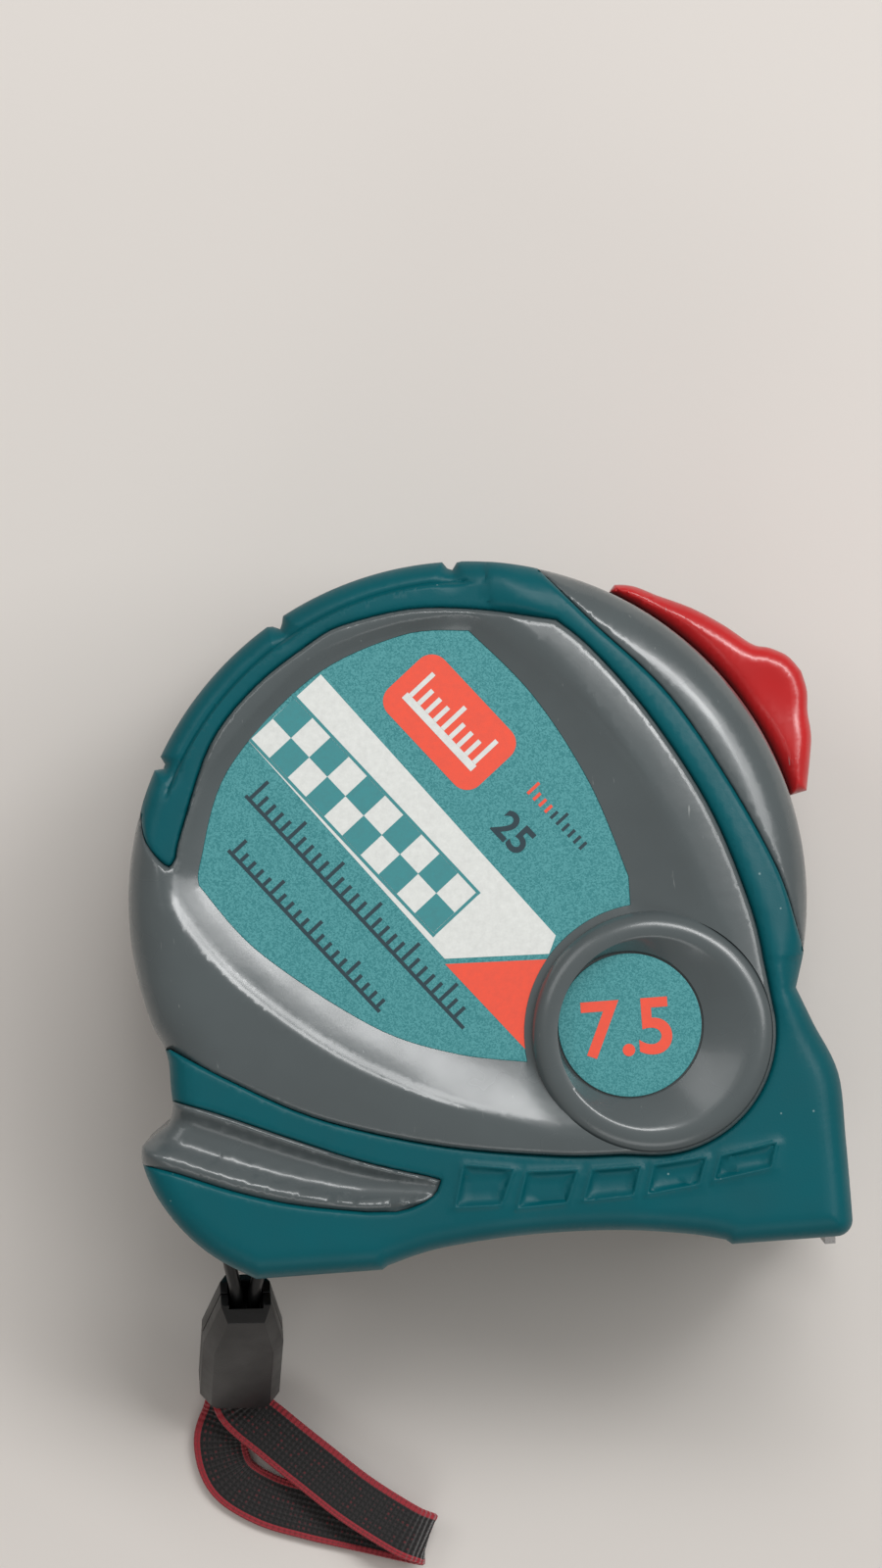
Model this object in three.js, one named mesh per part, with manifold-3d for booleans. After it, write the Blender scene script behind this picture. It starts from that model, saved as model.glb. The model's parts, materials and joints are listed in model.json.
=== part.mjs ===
// A 7.5 m pocket tape measure with a 25 mm blade, lying on its side on its belt clip.
// Units are millimetres. While the pieces are made, the origin is the centre of the round case at
// half its thickness, +X points to the blade's mouth, +Y to the top of the case and +Z to the
// side that faces up. At the end the group moves so that the origin is under its middle.
import * as THREE from "three";
import { mergeVertices } from "three/addons/utils/BufferGeometryUtils.js";
import Module from "manifold-3d";

const wasm = await Module();
wasm.setup();

// ---- driving sizes ----
const CASE_LENGTH = 79.7; // rear of the case to the tip of the nose
const CASE_THICKNESS = 42.6; // over the round rims of both sides
const BLADE_WIDTH = 25;
const COIL_OUTER_RADIUS = 29.3; // the wound blade
const BLADE_CROWN = 2.2; // how far the blade's edges stand above its middle
const BLADE_THICKNESS = 0.5;
const JACKET_THICKNESS = 1.6;
const CLIP_GAP = 5.1; // from the lower rim to the belt clip
const CLIP_SHEET = 1.2;
const STRAP_WIDTH = 6;

// ---- worked out from them ----
const DRAWN_LENGTH = 79.7; // the case length at which the outlines below were drawn
const K = CASE_LENGTH / DRAWN_LENGTH;
const GAP = 0.3; // between meshes that touch
const HALF_SPLIT = 0.15; // half the seam between the two shells
const RIM_TOP = CASE_THICKNESS / 2;
const PANEL_TOP = RIM_TOP - 0.9;
const JACKET_TOP = RIM_TOP - 1.9;
const LABEL_FLOOR = RIM_TOP - 2.9;
const WALL_TOP = RIM_TOP - 3.7; // where the jacket lies on the shell's side wall
const LABEL_THICKNESS = 1.0;
const COIL_HALF = BLADE_WIDTH / 2;
const FLANGE_INNER = COIL_HALF + 0.4;
const FLANGE_OUTER = FLANGE_INNER + 1.0;
const CAVITY_HALF = FLANGE_OUTER + 0.7;
const STRIP_EDGE_Y = -31.2 * K; // the crowned edges of the blade's straight run
const REEL_CENTRE = [0, STRIP_EDGE_Y + COIL_OUTER_RADIUS + 0.4]; // the run leaves the coil's foot
const CAVITY_RADIUS = COIL_OUTER_RADIUS + 1.3;
const FLANGE_RADIUS = COIL_OUTER_RADIUS + 0.7;
const COIL_INNER_RADIUS = 21.6;
const BODY_RADIUS = 38.45 * K;
const STRIP_TOP_Y = STRIP_EDGE_Y - BLADE_CROWN; // the upper face at mid-width
const STRIP_BOTTOM_Y = STRIP_TOP_Y - BLADE_THICKNESS;
const CROWN_RADIUS = (COIL_HALF ** 2 + BLADE_CROWN ** 2) / (2 * BLADE_CROWN);
const HOOK_X = 37.9 * K; // the face of the hook's plate that meets the mouth
const CLIP_TOP_Z = -RIM_TOP - CLIP_GAP;
const FLOOR_Z = CLIP_TOP_Z - CLIP_SHEET;

// ---- helpers ----
const rad = THREE.MathUtils.degToRad;
const cosd = (degrees) => Math.cos(rad(degrees));
const sind = (degrees) => Math.sin(rad(degrees));
const sized = (points) => points.map(([x, y]) => [x * K, y * K]);

// A closed three.js geometry as a manifold-3d solid.
function solid(geometry) {
  const bare = geometry.clone();
  bare.deleteAttribute("normal");
  bare.deleteAttribute("uv");
  const merged = mergeVertices(bare, 1e-4);
  const mesh = new wasm.Mesh({
    numProp: 3,
    vertProperties: new Float32Array(merged.attributes.position.array),
    triVerts: new Uint32Array(merged.index.array),
  });
  return new wasm.Manifold(mesh);
}

// Points at even steps along a smooth curve through the given points.
function smooth(points, steps) {
  const curve = new THREE.SplineCurve(points.map(([x, y]) => new THREE.Vector2(x, y)));
  return curve.getPoints(steps).map((p) => [p.x, p.y]);
}

function arc(centre, radius, from, to, steps) {
  const points = [];
  for (let i = 0; i <= steps; i++) {
    const angle = from + ((to - from) * i) / steps;
    points.push([centre[0] + radius * cosd(angle), centre[1] + radius * sind(angle)]);
  }
  return points;
}

// The ring sector between two radii about a centre.
function sector(centre, inner, outer, from, to, steps = 24) {
  return [...arc(centre, outer, from, to, steps), ...arc(centre, inner, to, from, steps)];
}

const box2 = (x0, y0, x1, y1) => [[x0, y0], [x1, y0], [x1, y1], [x0, y1]];

function area(points) {
  let sum = 0;
  points.forEach(([x, y], i) => {
    const [nextX, nextY] = points[(i + 1) % points.length];
    sum += x * nextY - nextX * y;
  });
  return sum / 2;
}

// Leaves out points that lie on their neighbour, and turns the outline anticlockwise.
function tidy(points) {
  const kept = points.filter(([x, y], i) => {
    const [nextX, nextY] = points[(i + 1) % points.length];
    return Math.hypot(nextX - x, nextY - y) > 0.02;
  });
  return area(kept) < 0 ? kept.reverse() : kept;
}

function distanceTo(outline, [x, y]) {
  let nearest = Infinity;
  outline.forEach(([fromX, fromY], i) => {
    const [toX, toY] = outline[(i + 1) % outline.length];
    const square = (toX - fromX) ** 2 + (toY - fromY) ** 2;
    const along = ((x - fromX) * (toX - fromX) + (y - fromY) * (toY - fromY)) / square;
    const share = Math.min(Math.max(along, 0), 1);
    const gap = Math.hypot(x - fromX - share * (toX - fromX), y - fromY - share * (toY - fromY));
    nearest = Math.min(nearest, gap);
  });
  return nearest;
}

// The outline moved outwards by a distance, or inwards by a negative one, with as many points.
// Points that would cross the outline's other side lie on a straight line between their neighbours.
function grow(outline, distance) {
  const points = tidy(outline);
  const count = points.length;
  const moved = points.map(([x, y], i) => {
    const [beforeX, beforeY] = points[(i + count - 1) % count];
    const [afterX, afterY] = points[(i + 1) % count];
    const one = new THREE.Vector2(y - beforeY, beforeX - x).normalize();
    const two = new THREE.Vector2(afterY - y, x - afterX).normalize();
    const middle = one.clone().add(two).normalize();
    const reach = distance / Math.max(middle.dot(one), 0.5);
    return [x + middle.x * reach, y + middle.y * reach];
  });
  const free = moved.map((p) => distanceTo(points, p) > Math.abs(distance) * 0.97);
  const start = free.indexOf(true);
  for (let i = 1; i < count; i++) {
    const first = (start + i) % count;
    if (free[first]) continue;
    let run = 1;
    while (!free[(first + run) % count]) run++;
    const before = moved[(first + count - 1) % count];
    const after = moved[(first + run) % count];
    for (let j = 0; j < run; j++) {
      const share = (j + 1) / (run + 1);
      moved[(first + j) % count] = [0, 1].map((k) => before[k] + (after[k] - before[k]) * share);
    }
    i += run - 1;
  }
  return moved;
}

// A solid that goes through the same outline at each level: [grown by, height] pairs, bottom first.
function loft(outline, levels) {
  const base = tidy(outline);
  const rings = levels.map(([grown]) => (grown === 0 ? base : grow(base, grown)));
  const count = base.length;
  const positions = [];
  const index = [];
  rings.forEach((ring, level) => ring.forEach(([x, y]) => positions.push(x, y, levels[level][1])));
  for (let level = 0; level + 1 < rings.length; level++) {
    for (let i = 0; i < count; i++) {
      const a = level * count + i;
      const b = level * count + ((i + 1) % count);
      index.push(a, b, b + count, a, b + count, a + count);
    }
  }
  const last = (rings.length - 1) * count;
  const contour = base.map(([x, y]) => new THREE.Vector2(x, y));
  for (const [a, b, c] of THREE.ShapeUtils.triangulateShape(contour, [])) {
    index.push(a, c, b, last + a, last + b, last + c);
  }
  const geometry = new THREE.BufferGeometry();
  geometry.setAttribute("position", new THREE.Float32BufferAttribute(positions, 3));
  geometry.setIndex(index);
  return solid(geometry);
}

const prism = (outline, low, high) => loft(outline, [[0, low], [0, high]]);

// A solid of revolution about the Z line through a centre, from [radius, z] points.
function turned(centre, profile, segments = 64) {
  const points = profile.map(([radius, z]) => new THREE.Vector2(radius, z));
  const onAxis = profile[0][0] === 0 && profile.at(-1)[0] === 0;
  if (!onAxis) points.push(points[0].clone());
  const geometry = new THREE.LatheGeometry(points, segments);
  geometry.rotateX(Math.PI / 2);
  geometry.translate(centre[0], centre[1], 0);
  const made = solid(geometry);
  return made.volume() < 0 ? solid(flipped(geometry)) : made;
}

function flipped(geometry) {
  const index = geometry.index.array;
  for (let i = 0; i < index.length; i += 3) [index[i + 1], index[i + 2]] = [index[i + 2], index[i + 1]];
  return geometry;
}

const disc = (centre, radius, low, high, segments = 32) =>
  prism(arc(centre, radius, 0, 360 - 360 / segments, segments - 1), low, high);

// An outline drawn in the plane across X, [across, up], made into a bar from one x to another.
function bar(outline, fromX, toX) {
  const shape = new THREE.Shape(tidy(outline).map(([z, y]) => new THREE.Vector2(z, y)));
  const geometry = new THREE.ExtrudeGeometry(shape, { depth: toX - fromX, bevelEnabled: false });
  geometry.rotateY(Math.PI / 2);
  geometry.translate(fromX, 0, 0);
  return solid(geometry);
}

// A tube or ribbon through points: an elliptic or flat section swept along a smooth curve, capped.
function swept(points, section, steps, sideways) {
  const curve = new THREE.CatmullRomCurve3(points.map((p) => new THREE.Vector3(...p)));
  const positions = [];
  const index = [];
  const count = section.length;
  let before = null;
  for (let i = 0; i <= steps; i++) {
    const at = curve.getPointAt(i / steps);
    const along = curve.getTangentAt(i / steps);
    const across = sideways(along);
    across.addScaledVector(along, -along.dot(across)).normalize();
    if (before && across.dot(before) < 0) across.negate(); // the section never turns over
    before = across;
    const over = along.clone().cross(across).normalize();
    for (const [a, b] of section) {
      const p = at.clone().addScaledVector(across, a).addScaledVector(over, b);
      positions.push(p.x, p.y, p.z);
    }
  }
  for (let i = 0; i < steps; i++) {
    for (let j = 0; j < count; j++) {
      const a = i * count + j;
      const b = i * count + ((j + 1) % count);
      index.push(a, b, b + count, a, b + count, a + count);
    }
  }
  for (let j = 1; j + 1 < count; j++) {
    const last = steps * count;
    index.push(0, j + 1, j, last, last + j, last + j + 1);
  }
  const geometry = new THREE.BufferGeometry();
  geometry.setAttribute("position", new THREE.Float32BufferAttribute(positions, 3));
  geometry.setIndex(index);
  const made = solid(geometry);
  return made.volume() < 0 ? solid(flipped(geometry)) : made;
}

function joined(...solids) {
  return solids.reduce((one, two) => one.add(two));
}

function hullOf(...solids) {
  return wasm.Manifold.hull(solids);
}

function cutFrom(body, ...tools) {
  return tools.reduce((one, two) => one.subtract(two), body);
}

// The same solid on the other side of the middle plane.
function mirrored(body) {
  const mesh = body.getMesh();
  const positions = new Float32Array(mesh.vertProperties);
  for (let i = 2; i < positions.length; i += 3) positions[i] = -positions[i];
  const triangles = new Uint32Array(mesh.triVerts);
  for (let i = 0; i < triangles.length; i += 3) {
    [triangles[i + 1], triangles[i + 2]] = [triangles[i + 2], triangles[i + 1]];
  }
  return new wasm.Manifold(new wasm.Mesh({ numProp: 3, vertProperties: positions, triVerts: triangles }));
}

const root = new THREE.Group();

function addNode(name, body, material) {
  const mesh = body.getMesh();
  const geometry = new THREE.BufferGeometry();
  const positions = new Float32Array(mesh.vertProperties);
  geometry.setAttribute("position", new THREE.BufferAttribute(positions, 3));
  geometry.setIndex(new THREE.BufferAttribute(new Uint32Array(mesh.triVerts), 1));
  geometry.computeVertexNormals();
  const node = new THREE.Mesh(geometry, material);
  node.name = name;
  root.add(node);
  return node;
}

// ---- materials ----
const plain = (color, roughness, metalness = 0) =>
  new THREE.MeshStandardMaterial({ color, roughness, metalness });
const GREY_ABS = plain(0x5a6263, 0.3);
const TEAL_RUBBER = plain(0x006570, 0.55);
const RED_ABS = plain(0xc62020, 0.35);
const LABEL_FILM = plain(0x4a9090, 0.4);
const DISC_FILM = plain(0x4a9090, 0.35);
const BLACK_NYLON = plain(0x151517, 0.5);
const WHITE_ACETAL = plain(0xd9dad4, 0.45);
const PRINTED_STEEL = plain(0xe8c81e, 0.35);
const SPRING_STEEL = plain(0x54585c, 0.3, 1);
const BRIGHT_STEEL = plain(0xb9bdc0, 0.3, 1);
const DARK_STEEL = plain(0x2b2d30, 0.4, 1);
const BRAKE_RUBBER = plain(0x2a2a2c, 0.8);
const WEBBING = plain(0x1a1517, 0.9);

// ---- outlines of the case, seen from the upper side ----
const SILHOUETTE = [
  ...sized([[27, -40.95], [38.6, -40.95], [40.2, -40.4], [40.8, -38.9]]),
  ...smooth(sized([[40.8, -38.9], [40.7, -30], [40.4, -22.5], [38, -16.7], [36.3, -12.5]]), 12).slice(1),
  ...arc([0, 0], BODY_RADIUS, -13.8, 198.2, 84),
  ...smooth(sized([[-36.5, -12], [-35.2, -15], [-35.1, -18.5], [-35, -20.7]]), 5).slice(1),
  ...smooth(sized([[-35, -20.7], [-35.6, -22.6], [-37.2, -23.8], [-38.8, -25]]), 4).slice(1),
  ...smooth(
    sized([[-38.8, -25], [-38.9, -27], [-37.6, -30.8], [-35, -34.8], [-31.5, -38.2], [-27, -40.95]]),
    12,
  ).slice(1),
  ...sized([[-12.7, -40.95], [-12, -40.5]]),
  ...smooth(
    sized([[-12, -40.5], [-6, -39], [4, -38.2], [14, -38.4], [22, -39.4], [26.3, -40.4]]),
    10,
  ).slice(1),
];
const RING_CENTRE = [19.8 * K, -16.3 * K];
const RING_RADIUS = 13.8 * K;
const DISC_CENTRE = [17.2 * K, -15.3 * K]; // the sunk disc is off the rim's centre
const DISC_RADIUS = 8.1 * K;
// The glossy side panel with its long tail to the rear and its round rim in front.
const PANEL = [
  ...smooth(sized([[9, 31.6], [3, 32.8], [-4.3, 33.3], [-12, 32], [-15.3, 30.5]]), 8),
  ...smooth(sized([[-15.3, 30.5], [-22, 26], [-27.7, 19.7], [-31.7, 10], [-32.5, 7.3]]), 10).slice(1),
  ...smooth(sized([[-32.5, 7.3], [-33.4, 6.3], [-34.9, 7.7], [-36, 10], [-36.2, 13.5]]), 6).slice(1),
  ...sized([[-42, 13.5], [-42, -14.3]]),
  ...smooth(
    sized([[-34.8, -14.3], [-28.7, -18], [-18.7, -23.2], [-5.3, -27.2], [8, -29.3], [15.5, -29.7]]),
    14,
  ),
  ...arc(RING_CENTRE, RING_RADIUS, -96, 3, 22),
  ...smooth(
    sized([[32.8, -9.7], [31.7, -3], [28, 8.3], [22, 19.3], [16, 27.3], [12.2, 30.9]]),
    14,
  ),
];
// The glossy front of the case outside the rubber's slanting band, past the silhouette.
const FRONT = [
  ...smooth(
    sized([[10.7, 36.8], [16, 30.7], [24, 22], [30, 12], [35, 1.3], [37, -6.3], [37.6, -9.3]]),
    16,
  ),
  ...sized([[46, -9.3], [46, 46], [8, 46]]),
];
// The finger scoop at the rear, past the silhouette.
const SCOOP = [
  ...sized([[-43, -27], [-43, -20.2]]),
  ...smooth(sized([[-34.8, -20.2], [-30, -21.9], [-22, -25.3], [-14, -28.5], [-6.7, -30.7]]), 8),
  ...smooth(sized([[-5.4, -31.2], [-6.2, -32.8], [-8.7, -34], [-10.7, -34.4]]), 4),
  ...smooth(sized([[-14, -34.2], [-22, -32.8], [-28.7, -30.8], [-35.3, -28.2], [-39.5, -26.9]]), 8),
];
const SCOOP_FLOOR = [
  ...smooth(sized([[-45, -19.5], [-34, -23], [-26, -26], [-16, -29.6], [-9, -31.6]]), 8),
  ...smooth(sized([[-9, -32.6], [-16, -32.4], [-26, -30.4], [-34, -27.4], [-45, -24.5]]), 8),
];
// The printed label, an eye shape cut short by the round rim.
const LABEL = [
  ...smooth(sized([[2.3, 30.5], [-5.3, 30.5], [-16, 26.3], [-26, 16.7], [-29.8, 6.7], [-30.2, 4]]), 16),
  ...smooth(sized([[-30.2, 4], [-24, -4], [-12, -13.2], [-3, -17], [5.2, -18.6]]), 12).slice(1),
  ...arc(RING_CENTRE, 14.6 * K, 189, 96, 14),
  ...smooth(sized([[18.3, 1.5], [14.7, 12.3], [9, 22.7], [2.3, 30.5]]), 10).slice(0, -1),
];
// Small marks pressed into the rubber below the round rim.
const MARKS = [
  sized([[-4, -34.4], [1.3, -34.5], [3, -30.5], [-2.7, -29.6]]),
  sized([[3, -35], [8.7, -34.8], [10.2, -31.1], [4.3, -30.9]]),
  sized([[10.5, -34.7], [16.3, -34.5], [17.3, -31.2], [11.7, -31.2]]),
  sized([[17.7, -34.5], [23.7, -33.8], [24.8, -30.7], [18.7, -31.2]]),
  sized([[25.3, -33.5], [32, -32.5], [32.8, -29.6], [26.3, -30.7]]),
];
const NOTCH_ANGLES = [152, 120.3, 88.8];

// ---- places that several pieces share ----
const SCREWS = sized([[-29, -29.2], [33.2, -21.5], [-16.5, 28.2], [9.8, 31.6]]);
const SCREW_RADIUS = 1.2;
const STRAP_PIN = [-28.5 * K, -36.3 * K];
const STRAP_PIN_HALF = 9;
const CLIP_SCREW = [0, 17 * K];
const CLIP_HALF = 9;
const LOCK_TRAVEL = 12; // degrees about the middle of the case
const LOCK_INNER = BODY_RADIUS + 0.45;
const ARM_OUTER = BODY_RADIUS - 2.95;
const ARM_INNER = ARM_OUTER - 1.4;
const ARM_HALF = 5;
const STEM_HALF = 4;
const PAD_HALF = 6;
const HOOK_HALF = 10.5;
const RIVETS_X = [30 * K, 34.5 * K];
const HOOK_FLOAT = 1;
const CHANNEL_BOTTOM = STRIP_BOTTOM_Y - 1.3;
const CHANNEL_TOP = STRIP_TOP_Y + 3.2;

// ---- shells ----
const EDGE = [
  [0, HALF_SPLIT],
  [0, JACKET_TOP - 3.4],
  [-0.5, JACKET_TOP - 1.6],
  [-1.4, JACKET_TOP - 0.5],
  [-2.8, JACKET_TOP],
];
const outer = loft(SILHOUETTE, EDGE);
const core = prism(grow(SILHOUETTE, -JACKET_THICKNESS - GAP), HALF_SPLIT, WALL_TOP);
const sideBulge = sized([[-44, 13.5], [-44, -14.3], [-33.4, -14.3], [-33.4, 13.5]]);

// The brake pad as it bears on the blade; at rest it is turned back by the lock's travel.
const padLocked = [
  ...arc([0, 0], ARM_OUTER + GAP, -51, -62, 6),
  [17.5 * K, STRIP_TOP_Y + 0.7],
  [25 * K, STRIP_TOP_Y + 0.7],
];
const turnedBy = (outline, degrees) =>
  outline.map(([x, y]) => [x * cosd(degrees) - y * sind(degrees), x * sind(degrees) + y * cosd(degrees)]);

// Everything that both shells leave open, from below the seam upwards.
function shellCuts() {
  const cuts = [
    disc(REEL_CENTRE, CAVITY_RADIUS, -1, CAVITY_HALF, 72),
    disc(REEL_CENTRE, 3.6, CAVITY_HALF - 1, CAVITY_HALF + 1.6, 24),
    prism(box2(-26 * K, CHANNEL_BOTTOM, 46 * K, CHANNEL_TOP), -1, COIL_HALF + 0.7),
    prism(box2(37.2 * K, -46 * K, 46 * K, -26.5 * K), -1, HOOK_HALF + 2.3),
    prism(box2(27.2 * K, CHANNEL_BOTTOM - 2.2, 46 * K, CHANNEL_BOTTOM + 0.5), -1, COIL_HALF + GAP),
    prism(sector([0, 0], ARM_INNER - 0.5, ARM_OUTER + 0.5, -66, 62), -1, ARM_HALF + 0.7),
    prism(sector([0, 0], ARM_OUTER, BODY_RADIUS + 6, 16, 51), -1, STEM_HALF + 0.5),
    prism(
      [
        [STRAP_PIN[0] - 2.6, STRAP_PIN[1] + 3],
        [STRAP_PIN[0] + 2.6, STRAP_PIN[1] + 3],
        [STRAP_PIN[0] + 5.2, STRAP_PIN[1] - 9],
        [STRAP_PIN[0] - 6.5, STRAP_PIN[1] - 9],
      ],
      -1,
      4.9,
    ),
    disc(STRAP_PIN, 1.2 + GAP, -1, STRAP_PIN_HALF + GAP, 20),
  ];
  for (let back = 0; back <= 6; back++) {
    const turnedBack = turnedBy(padLocked, (back / 6) * LOCK_TRAVEL);
    cuts.push(prism(grow(turnedBack, 0.75), -1, PAD_HALF + 0.7));
  }
  return cuts;
}

// The funnel from the rim's crest down to the sunk disc, which has a short upright wall.
const funnel = hullOf(
  disc(RING_CENTRE, RING_RADIUS - 2.5, RIM_TOP - 0.2, RIM_TOP + 1, 56),
  disc(DISC_CENTRE, DISC_RADIUS + 0.4, LABEL_FLOOR, LABEL_FLOOR + 0.5, 56),
);

const halfShell = cutFrom(
  joined(
    core,
    outer.intersect(prism(FRONT, 0, RIM_TOP)),
    outer.intersect(prism(SCOOP, 0, RIM_TOP)),
    outer.intersect(prism(sideBulge, 0, WALL_TOP)),
    loft(PANEL, [[0, WALL_TOP - 2], [0, PANEL_TOP - 0.6], [-0.6, PANEL_TOP]]).intersect(
      loft(SILHOUETTE, [[0, HALF_SPLIT], [0, JACKET_TOP - 3.4], [-1, JACKET_TOP - 0.8], [-3, PANEL_TOP]]),
    ),
    // the round rim stands above the panel around a sunk disc
    turned(RING_CENTRE, [
      [0, WALL_TOP - 1],
      [RING_RADIUS - 0.1, WALL_TOP - 1],
      [RING_RADIUS - 0.1, PANEL_TOP - 0.2],
      [RING_RADIUS - 0.9, RIM_TOP - 0.2],
      [RING_RADIUS - 1.8, RIM_TOP],
      [RING_RADIUS - 2.6, RIM_TOP - 0.2],
      [0, RIM_TOP - 0.2],
    ], 56),
  ),
  funnel,
  prism(SCOOP_FLOOR, JACKET_TOP - 1.6, RIM_TOP + 1),
  ...shellCuts(),
);
const labelRecess = prism(grow(LABEL, 1.2), LABEL_FLOOR, RIM_TOP + 1);
const screwPilots = SCREWS.map((at) => disc(at, SCREW_RADIUS + GAP, -1, 9, 20));
const upperShell = cutFrom(halfShell, labelRecess, ...screwPilots);

const HEAD_SEAT = -WALL_TOP + 3; // the screw heads sit in deep counterbores in the lower shell
const lowerShell = cutFrom(
  mirrored(halfShell),
  ...SCREWS.map((at) => disc(at, SCREW_RADIUS + GAP, -WALL_TOP - 1, 1, 20)),
  ...SCREWS.map((at) => disc(at, 2.7, -RIM_TOP - 1, HEAD_SEAT, 24)),
  disc(CLIP_SCREW, 1.5 + GAP, -RIM_TOP - 1, -CAVITY_HALF - 1.2, 20),
  // a flat seat for the belt clip's foot
  prism(box2(-CLIP_HALF - 0.5, 9.5 * K, CLIP_HALF + 0.5, 26 * K), -RIM_TOP - 1, -PANEL_TOP + 0.5),
);
addNode("shell_upper", upperShell, GREY_ABS);
addNode("shell_lower", lowerShell, GREY_ABS);

// ---- rubber jacket, in two halves like the shells ----
const nose = prism(box2(36.9 * K, -46 * K, 46 * K, -26.2 * K), -1, HOOK_HALF + 2.6);
const halfJacket = cutFrom(
  outer,
  prism(grow(SILHOUETTE, -JACKET_THICKNESS), -1, WALL_TOP + 0.05),
  prism(grow(PANEL, GAP), -1, RIM_TOP + 1),
  prism(grow(FRONT, GAP), -1, RIM_TOP + 1),
  prism(grow(SCOOP, GAP), -1, RIM_TOP + 1),
  prism(grow(sideBulge, GAP), -1, WALL_TOP + 0.05),
  disc(RING_CENTRE, RING_RADIUS + GAP, -1, RIM_TOP + 1, 72),
  nose,
  prism(box2(STRAP_PIN[0] - 6.8, -46 * K, STRAP_PIN[0] + 5.4, STRAP_PIN[1] + 1.5), -1, 5.2),
  ...MARKS.map((mark) => prism(mark, JACKET_TOP - 0.5, RIM_TOP)),
  ...NOTCH_ANGLES.map((angle) =>
    prism(sector([0, 0], BODY_RADIUS - 1.1, BODY_RADIUS + 2, angle - 0.7, angle + 0.7, 2), -1, RIM_TOP),
  ),
);
addNode("jacket_upper", halfJacket, TEAL_RUBBER);
addNode(
  "jacket_lower",
  cutFrom(mirrored(halfJacket), ...SCREWS.map((at) => disc(at, 2.7, -RIM_TOP - 1, HEAD_SEAT, 24))),
  TEAL_RUBBER,
);

// ---- labels ----
addNode("label_upper", prism(LABEL, LABEL_FLOOR + 0.05, LABEL_FLOOR + LABEL_THICKNESS), LABEL_FILM);
const ringLabel = loft(arc(DISC_CENTRE, DISC_RADIUS, 0, 351, 39), [
  [0, LABEL_FLOOR + 0.05],
  [0, LABEL_FLOOR + 0.7],
  [-0.5, LABEL_FLOOR + LABEL_THICKNESS],
]);
addNode("disc_label_upper", ringLabel, DISC_FILM);
addNode("disc_label_lower", mirrored(ringLabel), DISC_FILM);

// ---- case screws, driven from the lower side ----
SCREWS.forEach((at, i) => {
  const head = disc(at, 2.3, HEAD_SEAT - 2.2, HEAD_SEAT - GAP, 24);
  const drive = joined(
    prism(box2(at[0] - 1.3, at[1] - 0.28, at[0] + 1.3, at[1] + 0.28), HEAD_SEAT - 3, HEAD_SEAT - 1.2),
    prism(box2(at[0] - 0.28, at[1] - 1.3, at[0] + 0.28, at[1] + 1.3), HEAD_SEAT - 3, HEAD_SEAT - 1.2),
  );
  const shank = disc(at, SCREW_RADIUS, HEAD_SEAT - 1, 8.4, 16);
  addNode(`case_screw_${i + 1}`, cutFrom(head, drive).add(shank), DARK_STEEL);
});

// ---- centre post, slotted for the spring's inner end ----
const post = turned(REEL_CENTRE, [
  [0, -CAVITY_HALF - 1.3],
  [3.2, -CAVITY_HALF - 1.3],
  [3.2, CAVITY_HALF + 1.3],
  [0, CAVITY_HALF + 1.3],
], 24);
const postSlot = prism(
  box2(-0.6, REEL_CENTRE[1] - 1.9, 0.6, REEL_CENTRE[1] + 5),
  -COIL_HALF + 1,
  COIL_HALF - 3,
);
addNode("centre_post", post.subtract(postSlot), BRIGHT_STEEL);

// ---- reel ----
addNode(
  "reel_drum",
  turned(REEL_CENTRE, [
    [4, -FLANGE_OUTER],
    [FLANGE_RADIUS, -FLANGE_OUTER],
    [FLANGE_RADIUS, -FLANGE_INNER],
    [COIL_INNER_RADIUS - GAP, -FLANGE_INNER],
    [COIL_INNER_RADIUS - GAP, FLANGE_INNER - GAP],
    [COIL_INNER_RADIUS - 1.6, FLANGE_INNER - GAP],
    [COIL_INNER_RADIUS - 1.6, -FLANGE_INNER],
    [4, -FLANGE_INNER],
  ]),
  WHITE_ACETAL,
);
addNode(
  "reel_cover",
  turned(REEL_CENTRE, [
    [4, FLANGE_INNER],
    [COIL_INNER_RADIUS - 3.4, FLANGE_INNER],
    [COIL_INNER_RADIUS - 3.4, FLANGE_INNER - 2.4],
    [COIL_INNER_RADIUS - 2, FLANGE_INNER - 2.4],
    [COIL_INNER_RADIUS - 2, FLANGE_INNER],
    [FLANGE_RADIUS, FLANGE_INNER],
    [FLANGE_RADIUS, FLANGE_OUTER],
    [4, FLANGE_OUTER],
  ]),
  WHITE_ACETAL,
);
addNode(
  "blade_coil",
  turned(REEL_CENTRE, [
    [COIL_INNER_RADIUS, -COIL_HALF],
    [COIL_OUTER_RADIUS, -COIL_HALF],
    [COIL_OUTER_RADIUS, COIL_HALF],
    [COIL_INNER_RADIUS, COIL_HALF],
  ], 72),
  PRINTED_STEEL,
);

// The power spring: a flat spiral from near the post to near the drum's wall.
const SPRING_TURNS = 6;
const SPRING_HALF = 0.35;
const springRadius = (t) => 5.2 + (COIL_INNER_RADIUS - 3.8 - 5.2 - 1) * t;
const spiral = (offset) => {
  const points = [];
  const steps = SPRING_TURNS * 28;
  for (let i = 0; i <= steps; i++) {
    const angle = 360 * SPRING_TURNS * (i / steps);
    const radius = springRadius(i / steps) + offset;
    points.push([REEL_CENTRE[0] + radius * cosd(angle), REEL_CENTRE[1] + radius * sind(angle)]);
  }
  return points;
};
addNode(
  "power_spring",
  prism([...spiral(SPRING_HALF), ...spiral(-SPRING_HALF).reverse()], -COIL_HALF + 1, COIL_HALF - 3),
  SPRING_STEEL,
);

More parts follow.
